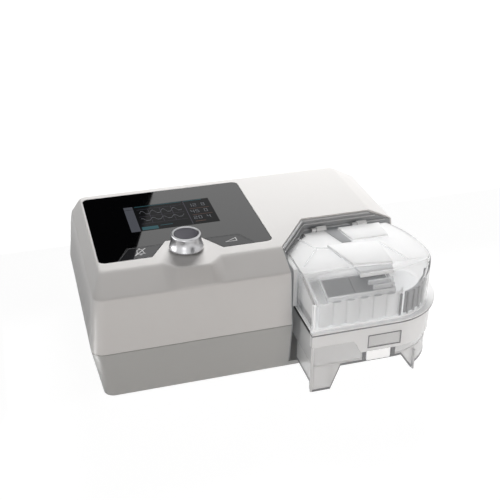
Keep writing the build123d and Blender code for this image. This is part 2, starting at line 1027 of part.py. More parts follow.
def inlet_duct():
    """Duct from the blower's nozzle round to the tank's inlet."""
    start = blower_across + volute_radius + nozzle_reach
    front = bay_back - liner_back_thickness + seal_thickness
    run = duct_run_back
    outer = level_x(start, inlet_across, run, port_height, duct_radius)
    outer += level_y(inlet_across, front, run, port_height, duct_radius)
    outer += Pos(across(inlet_across), back(run), port_height) * Sphere(duct_radius)
    inner_radius = duct_radius - duct_wall
    inner = level_x(start - over, inlet_across, run, port_height, inner_radius)
    inner += level_y(inlet_across, front - over, run, port_height, inner_radius)
    inner += Pos(across(inlet_across), back(run), port_height) * Sphere(inner_radius)
    duct = outer - inner
    collar = level_y(inlet_across, bay_back - over, bay_back, port_height, duct_radius + over)
    narrow = level_y(inlet_across, front - over, bay_back, port_height, duct_radius + over)
    tip = level_y(inlet_across, front - over, bay_back, port_height, seal_bore)
    return duct - (narrow - tip) - (collar - tip)


def outlet_duct():
    """Straight duct from the tank's outlet to the rear port."""
    front = bay_back
    rear = body_depth - crease_inset - body_wall
    duct = level_y(outlet_across, front, rear, port_height, duct_radius)
    return duct - level_y(outlet_across, front - over, rear + over, port_height, duct_radius - duct_wall)


def outlet_port():
    """Rear port that the breathing hose pushes onto."""
    rear = body_depth + port_reach
    front = body_depth - crease_inset - body_wall
    port = level_y(outlet_across, front, rear, port_height, outlet_port_radius)
    collar = body_depth
    port += level_y(
        outlet_across, collar, collar + outlet_collar_thickness, port_height, outlet_collar_radius,
    )
    port -= level_y(
        outlet_across, front - over, rear + over, port_height, outlet_port_radius - outlet_port_wall,
    )
    return port


def port_seals():
    """Soft rings in the liner that the tank's tubes press on."""
    front = bay_back - liner_back_thickness
    rings = []
    for place in (inlet_across, outlet_across):
        ring = level_y(place, front, front + seal_thickness, port_height, seal_radius)
        rings.append(
            ring - level_y(place, front - over, front + seal_thickness + over, port_height, seal_bore),
        )
    return group(rings)


# Back wall fittings

def filter_pocket():
    """Opening in the back wall for the air filter's frame."""
    half = filter_width / 2
    return block(
        filter_across - half, filter_across + half,
        muffler_back + filter_gap, body_depth + far, filter_low, filter_low + filter_height,
    )


def filter_frame():
    """Frame with a grille that holds the air filter."""
    half = filter_width / 2 - filter_gap
    low = filter_low + filter_gap
    high = filter_low + filter_height - filter_gap
    front = muffler_back
    rear = body_depth - bottom_inset
    wall = filter_frame_wall
    left = filter_across - half
    right = filter_across + half
    frame = block(left, right, front, rear, low, high)
    frame -= block(left + wall, right - wall, front + wall, rear + over, low + wall, high - wall)
    ledge = wall + filter_ledge
    frame -= block(left + ledge, right - ledge, front - over, front + wall + over, low + ledge, high - ledge)
    return frame


def air_filter():
    """Foam filter in its frame."""
    half = filter_width / 2 - filter_gap - filter_frame_wall - filter_gap
    low = filter_low + 2 * filter_gap + filter_frame_wall
    high = filter_low + filter_height - 2 * filter_gap - filter_frame_wall
    front = muffler_back + filter_frame_wall + filter_gap
    return block(filter_across - half, filter_across + half, front, front + filter_depth, low, high)


def filter_cover():
    """Slotted cover that pulls off the back."""
    half = filter_width / 2 + filter_cover_margin
    low = filter_low - filter_cover_margin
    high = filter_low + filter_height + filter_cover_margin
    front = body_depth + grille_gap
    rear = front + filter_cover_thickness
    cover = block(filter_across - half, filter_across + half, front, rear, low, high)
    spigot_half = filter_width / 2 - 2 * filter_gap
    spigot_front = body_depth - bottom_inset + filter_gap
    spigot_low = filter_low + 2 * filter_gap
    spigot_high = filter_low + filter_height - 2 * filter_gap
    cover += block(
        filter_across - spigot_half, filter_across + spigot_half,
        spigot_front, front, spigot_low, spigot_high,
    )
    wall = filter_frame_wall
    cover -= block(
        filter_across - spigot_half + wall, filter_across + spigot_half - wall,
        spigot_front - over, front, spigot_low + wall, spigot_high - wall,
    )
    ledge = wall + filter_ledge
    pitch = (spigot_high - spigot_low - 2 * wall) / grille_slots
    for slot in range(grille_slots):
        middle = spigot_low + wall + pitch * (slot + 0.5)
        cover -= block(
            filter_across - spigot_half + ledge, filter_across + spigot_half - ledge,
            front - over, rear + over, middle - grille_slot_height / 2, middle + grille_slot_height / 2,
        )
    return cover


def power_pocket():
    """Opening in the back wall for the power inlet."""
    half = power_body_side / 2
    return block(
        power_across - half, power_across + half,
        body_depth - bottom_inset - power_depth, body_depth + far, power_height - half, power_height + half,
    )


def power_inlet():
    """Round power socket, flush near the back."""
    half = power_body_side / 2 - fit_clearance
    rear = body_depth - bottom_inset / 2
    front = rear - power_depth - power_floor
    body = block(
        power_across - half, power_across + half, front, rear, power_height - half, power_height + half,
    )
    return body - level_y(power_across, rear - power_depth, rear + over, power_height, power_radius)


def power_contacts():
    """Contact pins standing at the bottom of the power socket."""
    bottom = body_depth - bottom_inset / 2 - power_depth
    pins = []
    for step in range(4):
        angle = radians(45 + 90 * step)
        x = power_across + power_contact_spread * cos(angle)
        z = power_height + power_contact_spread * sin(angle)
        pins.append(level_y(x, bottom, bottom + power_contact_length, z, power_contact_radius))
    return group(pins)


def card_pocket():
    """Opening in the back wall for the memory card's reader."""
    half = card_width / 2 + card_gap + card_reader_wall
    tall = card_thickness / 2 + card_gap + card_reader_wall
    return block(
        card_across - half - card_gap, card_across + half + card_gap,
        body_depth - bottom_inset - card_pocket_depth, body_depth + far,
        card_height - tall - card_gap, card_height + tall + card_gap,
    )


def card_face():
    """Depth of the reader's mouth, just inside the sloping back wall."""
    return body_depth - bottom_inset / 2 - card_mouth_inset


def card_reader():
    """Sleeve that guides the memory card."""
    half = card_width / 2 + card_gap + card_reader_wall
    tall = card_thickness / 2 + card_gap + card_reader_wall
    rear = card_face()
    front = rear - card_length - card_reader_wall
    reader = block(
        card_across - half, card_across + half, front, rear, card_height - tall, card_height + tall,
    )
    inner = card_width / 2 + card_gap
    slot = card_thickness / 2 + card_gap
    return reader - block(
        card_across - inner, card_across + inner, front + card_reader_wall, rear + over,
        card_height - slot, card_height + slot,
    )


def memory_card():
    """Memory card, flush in its reader."""
    rear = card_face()
    half = card_width / 2
    return block(
        card_across - half, card_across + half, rear - card_length + card_gap, rear,
        card_height - card_thickness / 2, card_height + card_thickness / 2,
    )


# Heater

def heater_outline(inset):
    """Rounded plan of the heater, drawn in by an inset."""
    width = heater_right - heater_left - 2 * inset
    depth = heater_back - heater_front - 2 * inset
    centre = (across((heater_left + heater_right) / 2), back((heater_front + heater_back) / 2))
    return Pos(*centre) * RectangleRounded(width, depth, heater_corner - inset / 2)


def heater_base():
    """Raised frame on the bay floor round the heater plate."""
    high = bay_floor + heater_frame_height
    frame = slab(heater_outline(0), bay_floor, high)
    return frame - slab(heater_outline(heater_frame_wall), bay_floor + heater_floor, high + over)


def heater_plate():
    """Sprung plate with a skirt inside the frame."""
    low = heater_top - heater_plate_thickness
    plate = slab(heater_outline(heater_frame_wall + heater_plate_gap), low - heater_skirt, heater_top)
    hollow = heater_outline(heater_frame_wall + heater_plate_gap + heater_skirt_wall)
    return plate - slab(hollow, low - heater_skirt - over, low)


def spring_places():
    """Places of the springs under the heater plate."""
    inset = spring_inset
    return [
        (heater_left + inset, heater_front + inset), (heater_right - inset, heater_front + inset),
        (heater_left + inset, heater_back - inset), (heater_right - inset, heater_back - inset),
    ]


def heater_springs():
    """Springs between the frame's floor and the plate."""
    low = bay_floor + heater_floor + spring_wire
    high = heater_top - heater_plate_thickness - spring_wire - spring_seat_gap
    springs = []
    for x, y in spring_places():
        path = Helix(pitch=(high - low) / spring_turns, height=high - low, radius=spring_radius)
        wire = Plane(origin=path @ 0, z_dir=path % 0) * Circle(spring_wire)
        coil = sweep(wire, path=path)
        springs.append(Pos(across(x), back(y), low) * coil)
    print("least gap between spring turns", round((high - low) / spring_turns - 2 * spring_wire, 2))
    return group(springs)


# Water tank outlines

def tank_outline(left_grow, front_grow, side_grow):
    """Plan of the tank: straight left, front and back, round at the front right."""
    gap = liner_thickness + tank_bay_gap
    near, far = bay_line(gap)
    run = (far[0] - near[0]) / (far[1] - near[1])
    left = tank_left - left_grow
    front = -tank_front - front_grow
    right = tank_right + side_grow
    radius = tank_round + side_grow * 0.6
    chamfer_low = near[1] + (left - near[0]) / run
    chamfer_turn = (across(near[0] + (tank_chamfer_end - near[1]) * run), back(tank_chamfer_end))
    corner_low = (across(tank_corner_across), back(tank_corner_back))
    corner_high = (across(tank_corner_across), back(tank_back))
    diagonal = radius * (1 - cos(radians(45)))
    round_start = (across(right - radius), back(front))
    round_end = (across(right), back(front + radius))
    round_middle = (across(right - diagonal), back(front + diagonal))
    waist = (across(tank_right_waist + side_grow * 0.8), back(tank_waist_place))
    rear_right = (across(tank_right_back + side_grow * 0.5), back(tank_back))
    lines = [
        Line((across(left), back(front)), round_start),
        ThreePointArc(round_start, round_middle, round_end),
        ThreePointArc(round_end, waist, rear_right),
        Line(rear_right, corner_high),
        Line(corner_high, corner_low),
        Line(corner_low, chamfer_turn),
        Line(chamfer_turn, (across(left), back(chamfer_low))),
        Line((across(left), back(chamfer_low)), (across(left), back(front))),
    ]
    return make_face(lines)


def shrunk(face, amount):
    """Plan face drawn in evenly."""
    return offset(face, amount=-amount, kind=Kind.INTERSECTION)


def wall_outline():
    """Outer plan of the lid's wall."""
    return tank_outline(0, 0, 0)


def apron_outline():
    """Outer plan of the lid's apron."""
    return tank_outline(apron_left_grow, apron_front_grow, apron_side_grow)


def flange_outline():
    """Outer plan of the lid's flange."""
    return tank_outline(flange_left_grow, tank_front_reach - tank_front, flange_side_grow)


def base_outline():
    """Outer plan of the tank base, inside the apron."""
    return shrunk(apron_outline(), apron_wall + apron_gap)


def slope_cut(drop):
    """Wedge above the lid's sloping front, lowered by a drop."""
    grade = lid_slope_drop / (tank_front - lid_slope_top)
    reach = tank_front + bay_margin
    low = lid_top - grade * (reach - lid_slope_top) - drop
    points = [
        (across(0), back(-lid_slope_top), lid_top - drop),
        (across(0), back(-reach), low),
        (across(0), back(-reach), lid_top + bay_margin),
        (across(0), back(-lid_slope_top), lid_top + bay_margin),
    ]
    face = make_face(Polyline(points, close=True))
    return extrude(face, amount=body_width + bay_margin, dir=(1, 0, 0))


# Water tank pieces

def tank_base():
    """Clear vessel for the water, with its sunk bottom and the ears of its hinge."""
    outline = base_outline()
    inner = shrunk(outline, tank_wall)
    body = slab(outline, vessel_low, rim_height)
    body -= slab(inner, vessel_low + tank_wall, rim_height + over)
    body += slab(sump_outline(0), sump_low, vessel_low + tank_wall)
    body -= slab(sump_outline(tank_wall), sump_low + tank_wall, vessel_low + tank_wall + over)
    body -= slab(metal_outline(-fit_clearance), sump_low - over, sump_low + metal_thickness + fit_clearance)
    body -= slab(metal_outline(metal_margin / 2), sump_low - over, sump_low + tank_wall + over)
    for left in (hinge_left, hinge_right):
        body += hinge_ear(left)
    return body


def tank_skirt():
    """Clear skirt with the two front feet, welded on under the vessel."""
    outline = base_outline()
    skirt = slab(outline - shrunk(outline, tank_wall), tank_foot_low, vessel_low)
    skirt -= block(
        tank_left - far, body_width + far, skirt_back_end, tank_back + far,
        tank_foot_low - over, vessel_low + over,
    )
    skirt -= block(
        tank_left - far, body_width + far, -skirt_side_front, skirt_back_end + over,
        tank_foot_low - over, skirt_side_low,
    )
    return skirt - arch()


def arch():
    """Opening between the tank's front feet."""
    points = [
        (arch_left_low, tank_foot_low - over),
        (arch_left_high, arch_height),
        (arch_right_high, arch_height),
        (arch_right_low, tank_foot_low - over),
    ]
    return cut_from_front(points, tank_front + skirt_back_end)


def cut_from_front(points, depth):
    """Solid of an outline seen from the front, run back from just before the tank."""
    front = back(-tank_front - far)
    face = make_face(Polyline([(across(x), front, z) for x, z in points], close=True))
    return extrude(face, amount=far + depth, dir=(0, 1, 0))


def sump_outline(inset):
    """Rounded plan of the sunk bottom over the heater."""
    width = heater_right - heater_left - 2 * inset
    depth = heater_back - heater_front - 2 * inset
    centre = (across((heater_left + heater_right) / 2), back((heater_front + heater_back) / 2))
    return Pos(*centre) * RectangleRounded(width, depth, heater_corner)


def metal_outline(inset):
    """Plan of the metal bottom plate."""
    return sump_outline(sump_margin + inset)


def conductive_plate():
    """Metal plate in the tank's bottom that takes heat from the heater."""
    return slab(metal_outline(0), sump_low, sump_low + metal_thickness)


def hinge_ear(left):
    """Ear that rises behind the lid to carry the hinge pin."""
    right = left + hinge_ear_width
    rear = hinge_back + hinge_ear_thickness / 2
    front = hinge_back - hinge_ear_thickness / 2
    ear = block(left, right, front, rear, rim_height - ear_foot, hinge_height)
    ear += level_x(left, right, hinge_back, hinge_height, hinge_ear_thickness / 2 + hinge_ear_swell)
    foot = block(left, right, tank_back - ear_foot, rear, rim_height - ear_foot, rim_height)
    return ear + foot - level_x(
        left - over, right + over, hinge_back, hinge_height, hinge_pin_radius + running_clearance,
    )


def lid_gasket():
    """Soft ring between the base's rim and the lid."""
    outer = base_outline()
    ring = outer - shrunk(outer, tank_wall)
    return slab(ring, rim_height, rim_height + gasket_thickness)


def tank_lid():
    """Clear lid with a sloping front, a flange, an apron and a raised grip."""
    outline = wall_outline()
    inner = shrunk(outline, tank_wall)
    lid = slab(outline, lid_low, lid_top) - slope_cut(0)
    cavity = slab(inner, lid_low - over, lid_top - lid_wall_top) - slope_cut(lid_wall_top)
    lid -= cavity
    flange = flange_outline() - shrunk(base_outline(), tank_wall)
    lid += slab(flange, lid_low, lid_low + flange_thickness)
    lid += apron()
    lid += grip(0)
    lid -= grip(grip_wall)
    for place in (inlet_across, outlet_across):
        lid += level_y(place, tank_back - tank_wall, spigot_end, port_height, spigot_radius)
        lid -= level_y(place, tank_back - far, tank_back + far, port_height, spigot_bore)
    lid += knuckles()
    return lid


def apron():
    """Skirt of the lid round the base's front, lower to the right of its step."""
    outer = apron_outline()
    ring = outer - shrunk(outer, apron_wall)
    skirt = slab(ring, apron_low, lid_low)
    behind = -tank_front + tank_round
    skirt -= block(tank_left - far, body_width + far, behind, tank_back + far, apron_low - over, lid_low)
    side = tank_left + apron_wall + over
    skirt -= block(tank_left - far, side, -tank_front + apron_return, behind, apron_low - over, lid_low)
    points = [
        (tank_left - far, apron_low_left),
        (apron_step, apron_low_left),
        (apron_step + apron_slant, apron_low - over),
        (tank_left - far, apron_low - over),
    ]
    skirt -= cut_from_front(points, tank_front)
    skirt -= block(
        latch_left - latch_gap, latch_right + latch_gap, -tank_front - far, 0,
        latch_low - latch_gap, latch_high + latch_gap,
    )
    return skirt


def grip(inset):
    """Raised block on the lid that the fingers lift, drawn in by a wall."""
    grade = lid_slope_drop / (tank_front - lid_slope_top)
    low = lid_top - grade * (grip_front - lid_slope_top) - lid_wall_top / 2 - inset
    return block(
        grip_left + inset, grip_right - inset, -grip_front + inset, grip_back - inset, low, grip_top - inset,
    )


def knuckles():
    """Barrels of the lid that turn on the hinge pins."""
    barrels = None
    for left in (hinge_left, hinge_right):
        start = left + hinge_ear_width + hinge_side_gap
        barrel = level_x(start, start + hinge_knuckle, hinge_back, hinge_height, hinge_barrel_radius)
        low = hinge_height - hinge_barrel_radius
        high = hinge_height + hinge_barrel_radius
        barrel += block(start, start + hinge_knuckle, tank_back - over, hinge_back, low, high)
        hole = hinge_pin_radius + running_clearance
        barrel -= level_x(start - over, start + hinge_knuckle + over, hinge_back, hinge_height, hole)
        barrels = barrel if barrels is None else barrels + barrel
    return barrels


def hinge_pins():
    """Two steel pins through the ears and the lid's barrels."""
    pins = []
    for left in (hinge_left, hinge_right):
        end = left + hinge_ear_width + hinge_side_gap + hinge_knuckle
        pins.append(level_x(left, end, hinge_back, hinge_height, hinge_pin_radius))
    return group(pins)


def lid_latch():
    """Press tab in the window of the apron."""
    rear = base_front() - latch_travel - latch_stop_gap
    return block(latch_left, latch_right, rear - latch_thickness, rear, latch_low, latch_high)


def latch_catch():
    """White catch block on the front of the base, under the apron."""
    face = base_front()
    return block(catch_left, catch_right, face - catch_thickness, face, catch_low, catch_high)


def base_front():
    """Depth of the base's front wall."""
    return -tank_front - apron_front_grow + apron_wall + apron_gap


def splash_baffle():
    """Ribbed clear wall behind the lid's front that breaks splashes."""
    front = -tank_front + tank_wall + baffle_inset
    baffle = block(baffle_left, baffle_right, front, front + baffle_wall, baffle_low, baffle_high)
    pitch = (baffle_right - baffle_left) / baffle_ribs
    for rib in range(baffle_ribs):
        middle = baffle_left + pitch * (rib + 0.5)
        half = baffle_rib_width / 2
        baffle += block(
            middle - half, middle + half, front - baffle_rib_depth, front, baffle_low, baffle_high,
        )
    return baffle


def splash_plate():
    """White plate that divides the air space from the water."""
    outline = shrunk(wall_outline(), tank_wall + fit_clearance)
    plate = slab(outline, splash_plate_low, splash_plate_low + splash_plate_thickness)
    opening = block(
        grip_left, grip_right, 0, grip_back + splash_opening_margin,
        splash_plate_low - over, splash_plate_low + splash_plate_thickness + over,
    )
    return plate - opening


PIECES = {
    "upper_housing": upper_housing,
    "lower_housing": lower_housing,
    "bay_liner": bay_liner,
    "rubber_feet": rubber_feet,
    "case_screws": case_screws,
    "glass_panel": glass_panel,
    "mute_key": lambda: key(-1),
    "ramp_key": lambda: key(1),
    "display_module": display_module,
    "display_frame": display_frame,
    "panel_board": panel_board,
    "main_board": main_board,
    "board_screws": board_screws,
    "key_switches": key_switches,
    "blower_drive": blower_drive,
    "dial_ring": dial_ring,
    "dial_disc": dial_disc,
    "dial_shaft": dial_shaft,
    "dial_encoder": dial_encoder,
    "dial_plunger": dial_plunger,
    "muffler_box": muffler_box,
    "muffler_lid": muffler_lid,
    "muffler_foam": muffler_foam,
    "blower_mounts": blower_mounts,
    "blower_volute": blower_volute,
    "blower_cover": blower_cover,
    "blower_motor": blower_motor,
    "impeller": impeller,
    "inlet_duct": inlet_duct,
    "outlet_duct": outlet_duct,
    "outlet_port": outlet_port,
    "port_seals": port_seals,
    "filter_frame": filter_frame,
    "air_filter": air_filter,
    "filter_cover": filter_cover,
    "power_inlet": power_inlet,
    "power_contacts": power_contacts,
    "card_reader": card_reader,
    "memory_card": memory_card,
    "heater_base": heater_base,
    "heater_springs": heater_springs,
    "heater_plate": heater_plate,
    "tank_base": tank_base,
    "tank_skirt": tank_skirt,
    "conductive_plate": conductive_plate,
    "lid_gasket": lid_gasket,
    "tank_lid": tank_lid,
    "hinge_pins": hinge_pins,
    "lid_latch": lid_latch,
    "latch_catch": latch_catch,
    "splash_baffle": splash_baffle,
    "splash_plate": splash_plate,
}

os.makedirs("parts", exist_ok=True)
for name, make in PIECES.items():
    save(make(), name)
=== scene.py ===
import logging
import math
from dataclasses import dataclass
from enum import Enum
from functools import partial
from typing import Any, Callable, Iterable, Optional, Sequence, Union

import bmesh
import bpy
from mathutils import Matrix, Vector


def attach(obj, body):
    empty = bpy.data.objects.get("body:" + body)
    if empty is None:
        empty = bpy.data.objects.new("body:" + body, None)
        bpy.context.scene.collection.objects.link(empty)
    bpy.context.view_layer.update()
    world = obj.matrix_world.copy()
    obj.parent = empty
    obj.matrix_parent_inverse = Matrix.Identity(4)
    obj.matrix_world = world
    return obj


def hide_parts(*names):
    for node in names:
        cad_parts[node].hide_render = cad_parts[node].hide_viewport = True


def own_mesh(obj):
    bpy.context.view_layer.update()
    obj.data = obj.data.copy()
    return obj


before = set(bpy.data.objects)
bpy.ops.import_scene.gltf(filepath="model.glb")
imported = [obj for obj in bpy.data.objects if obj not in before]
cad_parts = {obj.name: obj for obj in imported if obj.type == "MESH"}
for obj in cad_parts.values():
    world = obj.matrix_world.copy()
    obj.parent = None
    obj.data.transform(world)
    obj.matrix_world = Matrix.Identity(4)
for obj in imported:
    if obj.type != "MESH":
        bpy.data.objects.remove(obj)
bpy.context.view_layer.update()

MM = 0.001
LOG = logging.getLogger("breathing_machine")

Point = tuple[float, float, float]
Flat = tuple[float, float]
Span = tuple[float, float, float, float]
Plan = list[Flat]
Ring = list[Point]
Level = Union[float, Callable[[Flat], float]]
Thing = bpy.types.Object
Tree = bpy.types.NodeTree
Node = bpy.types.Node
Values = Optional[dict[Any, Any]]
Adder = Callable[..., Node]

# The body's left seam and front seam in the shared frame, in millimetres
SEAM_LEFT = -135.65
SEAM_FRONT = -75.75
# The dial's axis in plan, and the height of the top cover and of the glass in it
DIAL_AXIS: Flat = (81.4, 45.7)
TOP = 98.6
# Edges sharper than this stay sharp, in degrees
SHARP_ANGLE = 32.0
# Where a shape ends that only cuts, below and above the top cover
CUT_LOW, CUT_HIGH = 80.0, 120.0


def linear(colour: str) -> Span:
    """Turn an sRGB hex colour into linear values.

    Args:
        colour: Six hex digits after a hash.

    Returns:
        Linear red, green and blue, and an alpha of one.
    """
    parts = [int(colour[place:place + 2], 16) / 255 for place in (1, 3, 5)]
    values = [part / 12.92 if part <= 0.04045 else ((part + 0.055) / 1.055) ** 2.4 for part in parts]
    return values[0], values[1], values[2], 1.0


def add_node(tree: Tree, kind: str, settings: Values = None, links: Values = None) -> Node:
    """Add one node with its settings and links.

    Args:
        tree: Node tree to add to.
        kind: Blender's name for the kind of node.
        settings: Values of its properties, or of its input sockets by name or number.
        links: What feeds its inputs, by the input's name or number: a socket, or a node for its first output.

    Returns:
        The new node.
    """
    node = tree.nodes.new(kind)
    for name, value in (settings or {}).items():
        if isinstance(name, str) and hasattr(node, name):
            setattr(node, name, value)
        else:
            node.inputs[name].default_value = value
    for name, source in (links or {}).items():
        tree.links.new(source.outputs[0] if isinstance(source, Node) else source, node.inputs[name])
    return node


def directly_seen(add: Adder) -> Node:
    """Tell rays from the camera, through clear pieces and from mirrors from all others.

    Args:
        add: Adds a node.

    Returns:
        A node that gives one for such a ray and zero elsewhere.
    """
    path = add("ShaderNodeLightPath")
    total = path.outputs["Is Camera Ray"]
    for kind in ("Is Transmission Ray", "Is Glossy Ray"):
        node = add("ShaderNodeMath", {"operation": "ADD", "use_clamp": True}, {0: total, 1: path.outputs[kind]})
        total = node.outputs[0]
    return node


# Finishes

class Finish:
    """A surface finish that makes its material once, when it is first used."""

    name: str
    made: dict[str, bpy.types.Material] = {}

    def material(self) -> bpy.types.Material:
        """Make this finish's material if it isn't there.

        Returns:
            The material.
        """
        if self.name not in Finish.made:
            material = bpy.data.materials.new(self.name)
            material.use_nodes = True
            material.node_tree.nodes.clear()
            add = partial(add_node, material.node_tree)
            add("ShaderNodeOutputMaterial", links={"Surface": self.shade(add)})
            Finish.made[self.name] = material
        return Finish.made[self.name]

    def shade(self, add: Adder) -> Node:
        """Build the finish's nodes and return the shader."""
        raise NotImplementedError

    def dress(self, thing: Thing) -> None:
        """Give a piece this finish in all its slots.

        Args:
            thing: The piece.
        """
        slots = thing.data.materials
        for place in range(len(slots)):
            slots[place] = self.material()
        if not slots:
            slots.append(self.material())


@dataclass(frozen=True)
class MouldedPlastic(Finish):
    """Injection-moulded plastic with a fine spark-eroded texture.

    The texture scatters the light softly, so the surface has a wide dull sheen.
    """

    name: str
    colour: str
    shade_colour: str
    roughness: float = 0.42
    grain_depth: float = 0.02
    # Painted glow: emission that lights the colour where no lamp does
    brightener: float = 0.0
    grain_mm: float = 0.7
    mottle_mm: float = 60.0
    edge_mm: float = 0.6

    def shade(self, add: Adder) -> Node:
        """Build a mottled base colour, a grain bump and rounded edges.

        Args:
            add: Adds a node.

        Returns:
            The shader.
        """
        place = add("ShaderNodeTexCoord").outputs["Object"]
        cloud = add("ShaderNodeTexNoise", {"Scale": 1 / (self.mottle_mm * MM), "Detail": 2.0}, {"Vector": place})
        tone = add(
            "ShaderNodeMix", {"data_type": "RGBA", 6: linear(self.colour), 7: linear(self.shade_colour)},
            {0: cloud},
        ).outputs[2]
        grain = add("ShaderNodeTexNoise", {"Scale": 1 / (self.grain_mm * MM), "Detail": 3.0}, {"Vector": place})
        edge = add("ShaderNodeBevel", {"samples": 6, "Radius": self.edge_mm * MM})
        bump = add(
            "ShaderNodeBump", {"Strength": 0.5, "Distance": self.grain_depth * MM},
            {"Height": grain, "Normal": edge},
        )
        # Emission Strength paints glow into the colour; it stands in for light, not a lamp
        return add(
            "ShaderNodeBsdfPrincipled",
            {"Roughness": self.roughness, "IOR": 1.5, "Emission Strength": self.brightener},
            {"Base Color": tone, "Normal": bump, "Emission Color": tone},
        )


@dataclass(frozen=True)
class ClearPlastic(Finish):
    """Clear moulded polycarbonate with a faint haze and, where asked, a spark-eroded level top.

    Its polished walls bend and pass the light. The haze makes them read as milky where light falls on them, and
    the matt top reads as nearly white.
    """

    name: str
    tint: str = "#FAFAFA"
    clearness: float = 0.86
    roughness: float = 0.05
    matt_clearness: float = 0.86
    ripple_mm: float = 9.0
    edge_mm: float = 0.4

    def shade(self, add: Adder) -> Node:
        """Build a clear shader with some haze whose shadow is light.

        Args:
            add: Adds a node.

        Returns:
            The shader.
        """
        place = add("ShaderNodeTexCoord").outputs
        ripple = add(
            "ShaderNodeTexNoise", {"Scale": 1 / (self.ripple_mm * MM), "Detail": 1.0}, {"Vector": place["Object"]},
        )
        edge = add("ShaderNodeBevel", {"samples": 4, "Radius": self.edge_mm * MM})
        bump = add("ShaderNodeBump", {"Strength": 0.12, "Distance": 0.3 * MM}, {"Height": ripple, "Normal": edge})
        facing = add("ShaderNodeSeparateXYZ", links={0: place["Normal"]})
        level = add("ShaderNodeMath", {"operation": "ABSOLUTE"}, {0: facing.outputs[2]})
        passed = add(
            "ShaderNodeMapRange",
            {"From Min": 0.972, "From Max": 0.992, "To Min": self.clearness, "To Max": self.matt_clearness},
            {"Value": level},
        )
        clear = add(
            "ShaderNodeBsdfPrincipled",
            {"Base Color": linear(self.tint), "Roughness": self.roughness, "IOR": 1.46},
            {"Normal": bump, "Transmission Weight": passed},
        )
        passing = add("ShaderNodeBsdfTransparent", {"Color": linear("#F2F3F4")})
        path = add("ShaderNodeLightPath")
        return add("ShaderNodeMixShader", None, {0: path.outputs["Is Shadow Ray"], 1: clear, 2: passing})


@dataclass(frozen=True)
class BlackGlass(Finish):
    """Toughened glass, printed black behind.

    The float surface is flat and polished, so what it shows is the studio's reflection.
    """

    name: str
    colour: str = "#050506"
    ior: float = 1.8
    roughness: float = 0.02
    smear_mm: float = 35.0
    edge_mm: float = 0.3

    def shade(self, add: Adder) -> Node:
        """Build a black base under a polished surface.

        Args:
            add: Adds a node.

        Returns:
            The shader.
        """
        place = add("ShaderNodeTexCoord").outputs["Object"]
        smear = add("ShaderNodeTexNoise", {"Scale": 1 / (self.smear_mm * MM), "Detail": 3.0}, {"Vector": place})
        rough = add(
            "ShaderNodeMapRange",
            {"From Min": 0.35, "From Max": 0.75, "To Min": self.roughness, "To Max": self.roughness * 2},
            {"Value": smear},
        )
        edge = add("ShaderNodeBevel", {"samples": 6, "Radius": self.edge_mm * MM})
        return add(
            "ShaderNodeBsdfPrincipled", {"Base Color": linear(self.colour), "IOR": self.ior},
            {"Roughness": rough, "Normal": edge},
        )


@dataclass(frozen=True)
class ScreenInk(Finish):
    """Lit part of the display, seen through the glass.

    It glows faintly and keeps the polished surface of the glass over it.
    """

    name: str
    colour: str
    glow: float
    ior: float = 1.13
    grid_mm: float = 0.25

    def shade(self, add: Adder) -> Node:
        """Build a glow with a faint pixel pattern under a polished surface.

        Args:
            add: Adds a node.

        Returns:
            The shader.
        """
        place = add("ShaderNodeTexCoord").outputs["Object"]
        pixels = add("ShaderNodeTexChecker", {"Scale": 1 / (self.grid_mm * MM)}, {"Vector": place})
        dim = add(
            "ShaderNodeMix",
            {"data_type": "RGBA", "blend_type": "MULTIPLY", 6: linear(self.colour), 7: linear("#F0F0F0")},
            {0: pixels.outputs["Fac"]},
        )
        return add(
            "ShaderNodeBsdfPrincipled",
            {"Base Color": linear("#0A0A0B"), "Roughness": 0.05, "IOR": self.ior, "Emission Strength": self.glow},
            {"Emission Color": dim.outputs[2]},
        )


@dataclass(frozen=True)
class TurnedAluminium(Finish):
    """Aluminium turned on a lathe and clear anodised.

    The tool leaves fine rings round the axis, which stretch each highlight across them.
    """

    name: str
    axis: Flat
    colour: str = "#C6C6C8"
    roughness: float = 0.3
    ring_mm: float = 0.35
    ring_depth_mm: float = 0.012
    edge_mm: float = 0.3

    def shade(self, add: Adder) -> Node:
        """Build a metal with ring-shaped grooves round a vertical axis.

        Args:
            add: Adds a node.

        Returns:
            The shader.
        """
        place = add("ShaderNodeTexCoord").outputs["Object"]
        centred = add("ShaderNodeVectorMath", {"operation": "SUBTRACT", 1: (*self.axis, 0.0)}, {0: place})
        apart = add("ShaderNodeSeparateXYZ", links={0: centred})
        flat = add("ShaderNodeCombineXYZ", links={0: apart.outputs[0], 1: apart.outputs[1]})
        radius = add("ShaderNodeVectorMath", {"operation": "LENGTH"}, {0: flat})
        rings = add("ShaderNodeCombineXYZ", links={0: radius.outputs["Value"], 2: apart.outputs[2]})
        groove = add("ShaderNodeTexNoise", {"Scale": 1 / (self.ring_mm * MM), "Detail": 2.0}, {"Vector": rings})
        edge = add("ShaderNodeBevel", {"samples": 6, "Radius": self.edge_mm * MM})
        bump = add(
            "ShaderNodeBump", {"Strength": 0.35, "Distance": self.ring_depth_mm * MM},
            {"Height": groove, "Normal": edge},
        )
        return add(
            "ShaderNodeBsdfPrincipled",
            {"Base Color": linear(self.colour), "Roughness": self.roughness, "Metallic": 1.0}, {"Normal": bump},
        )


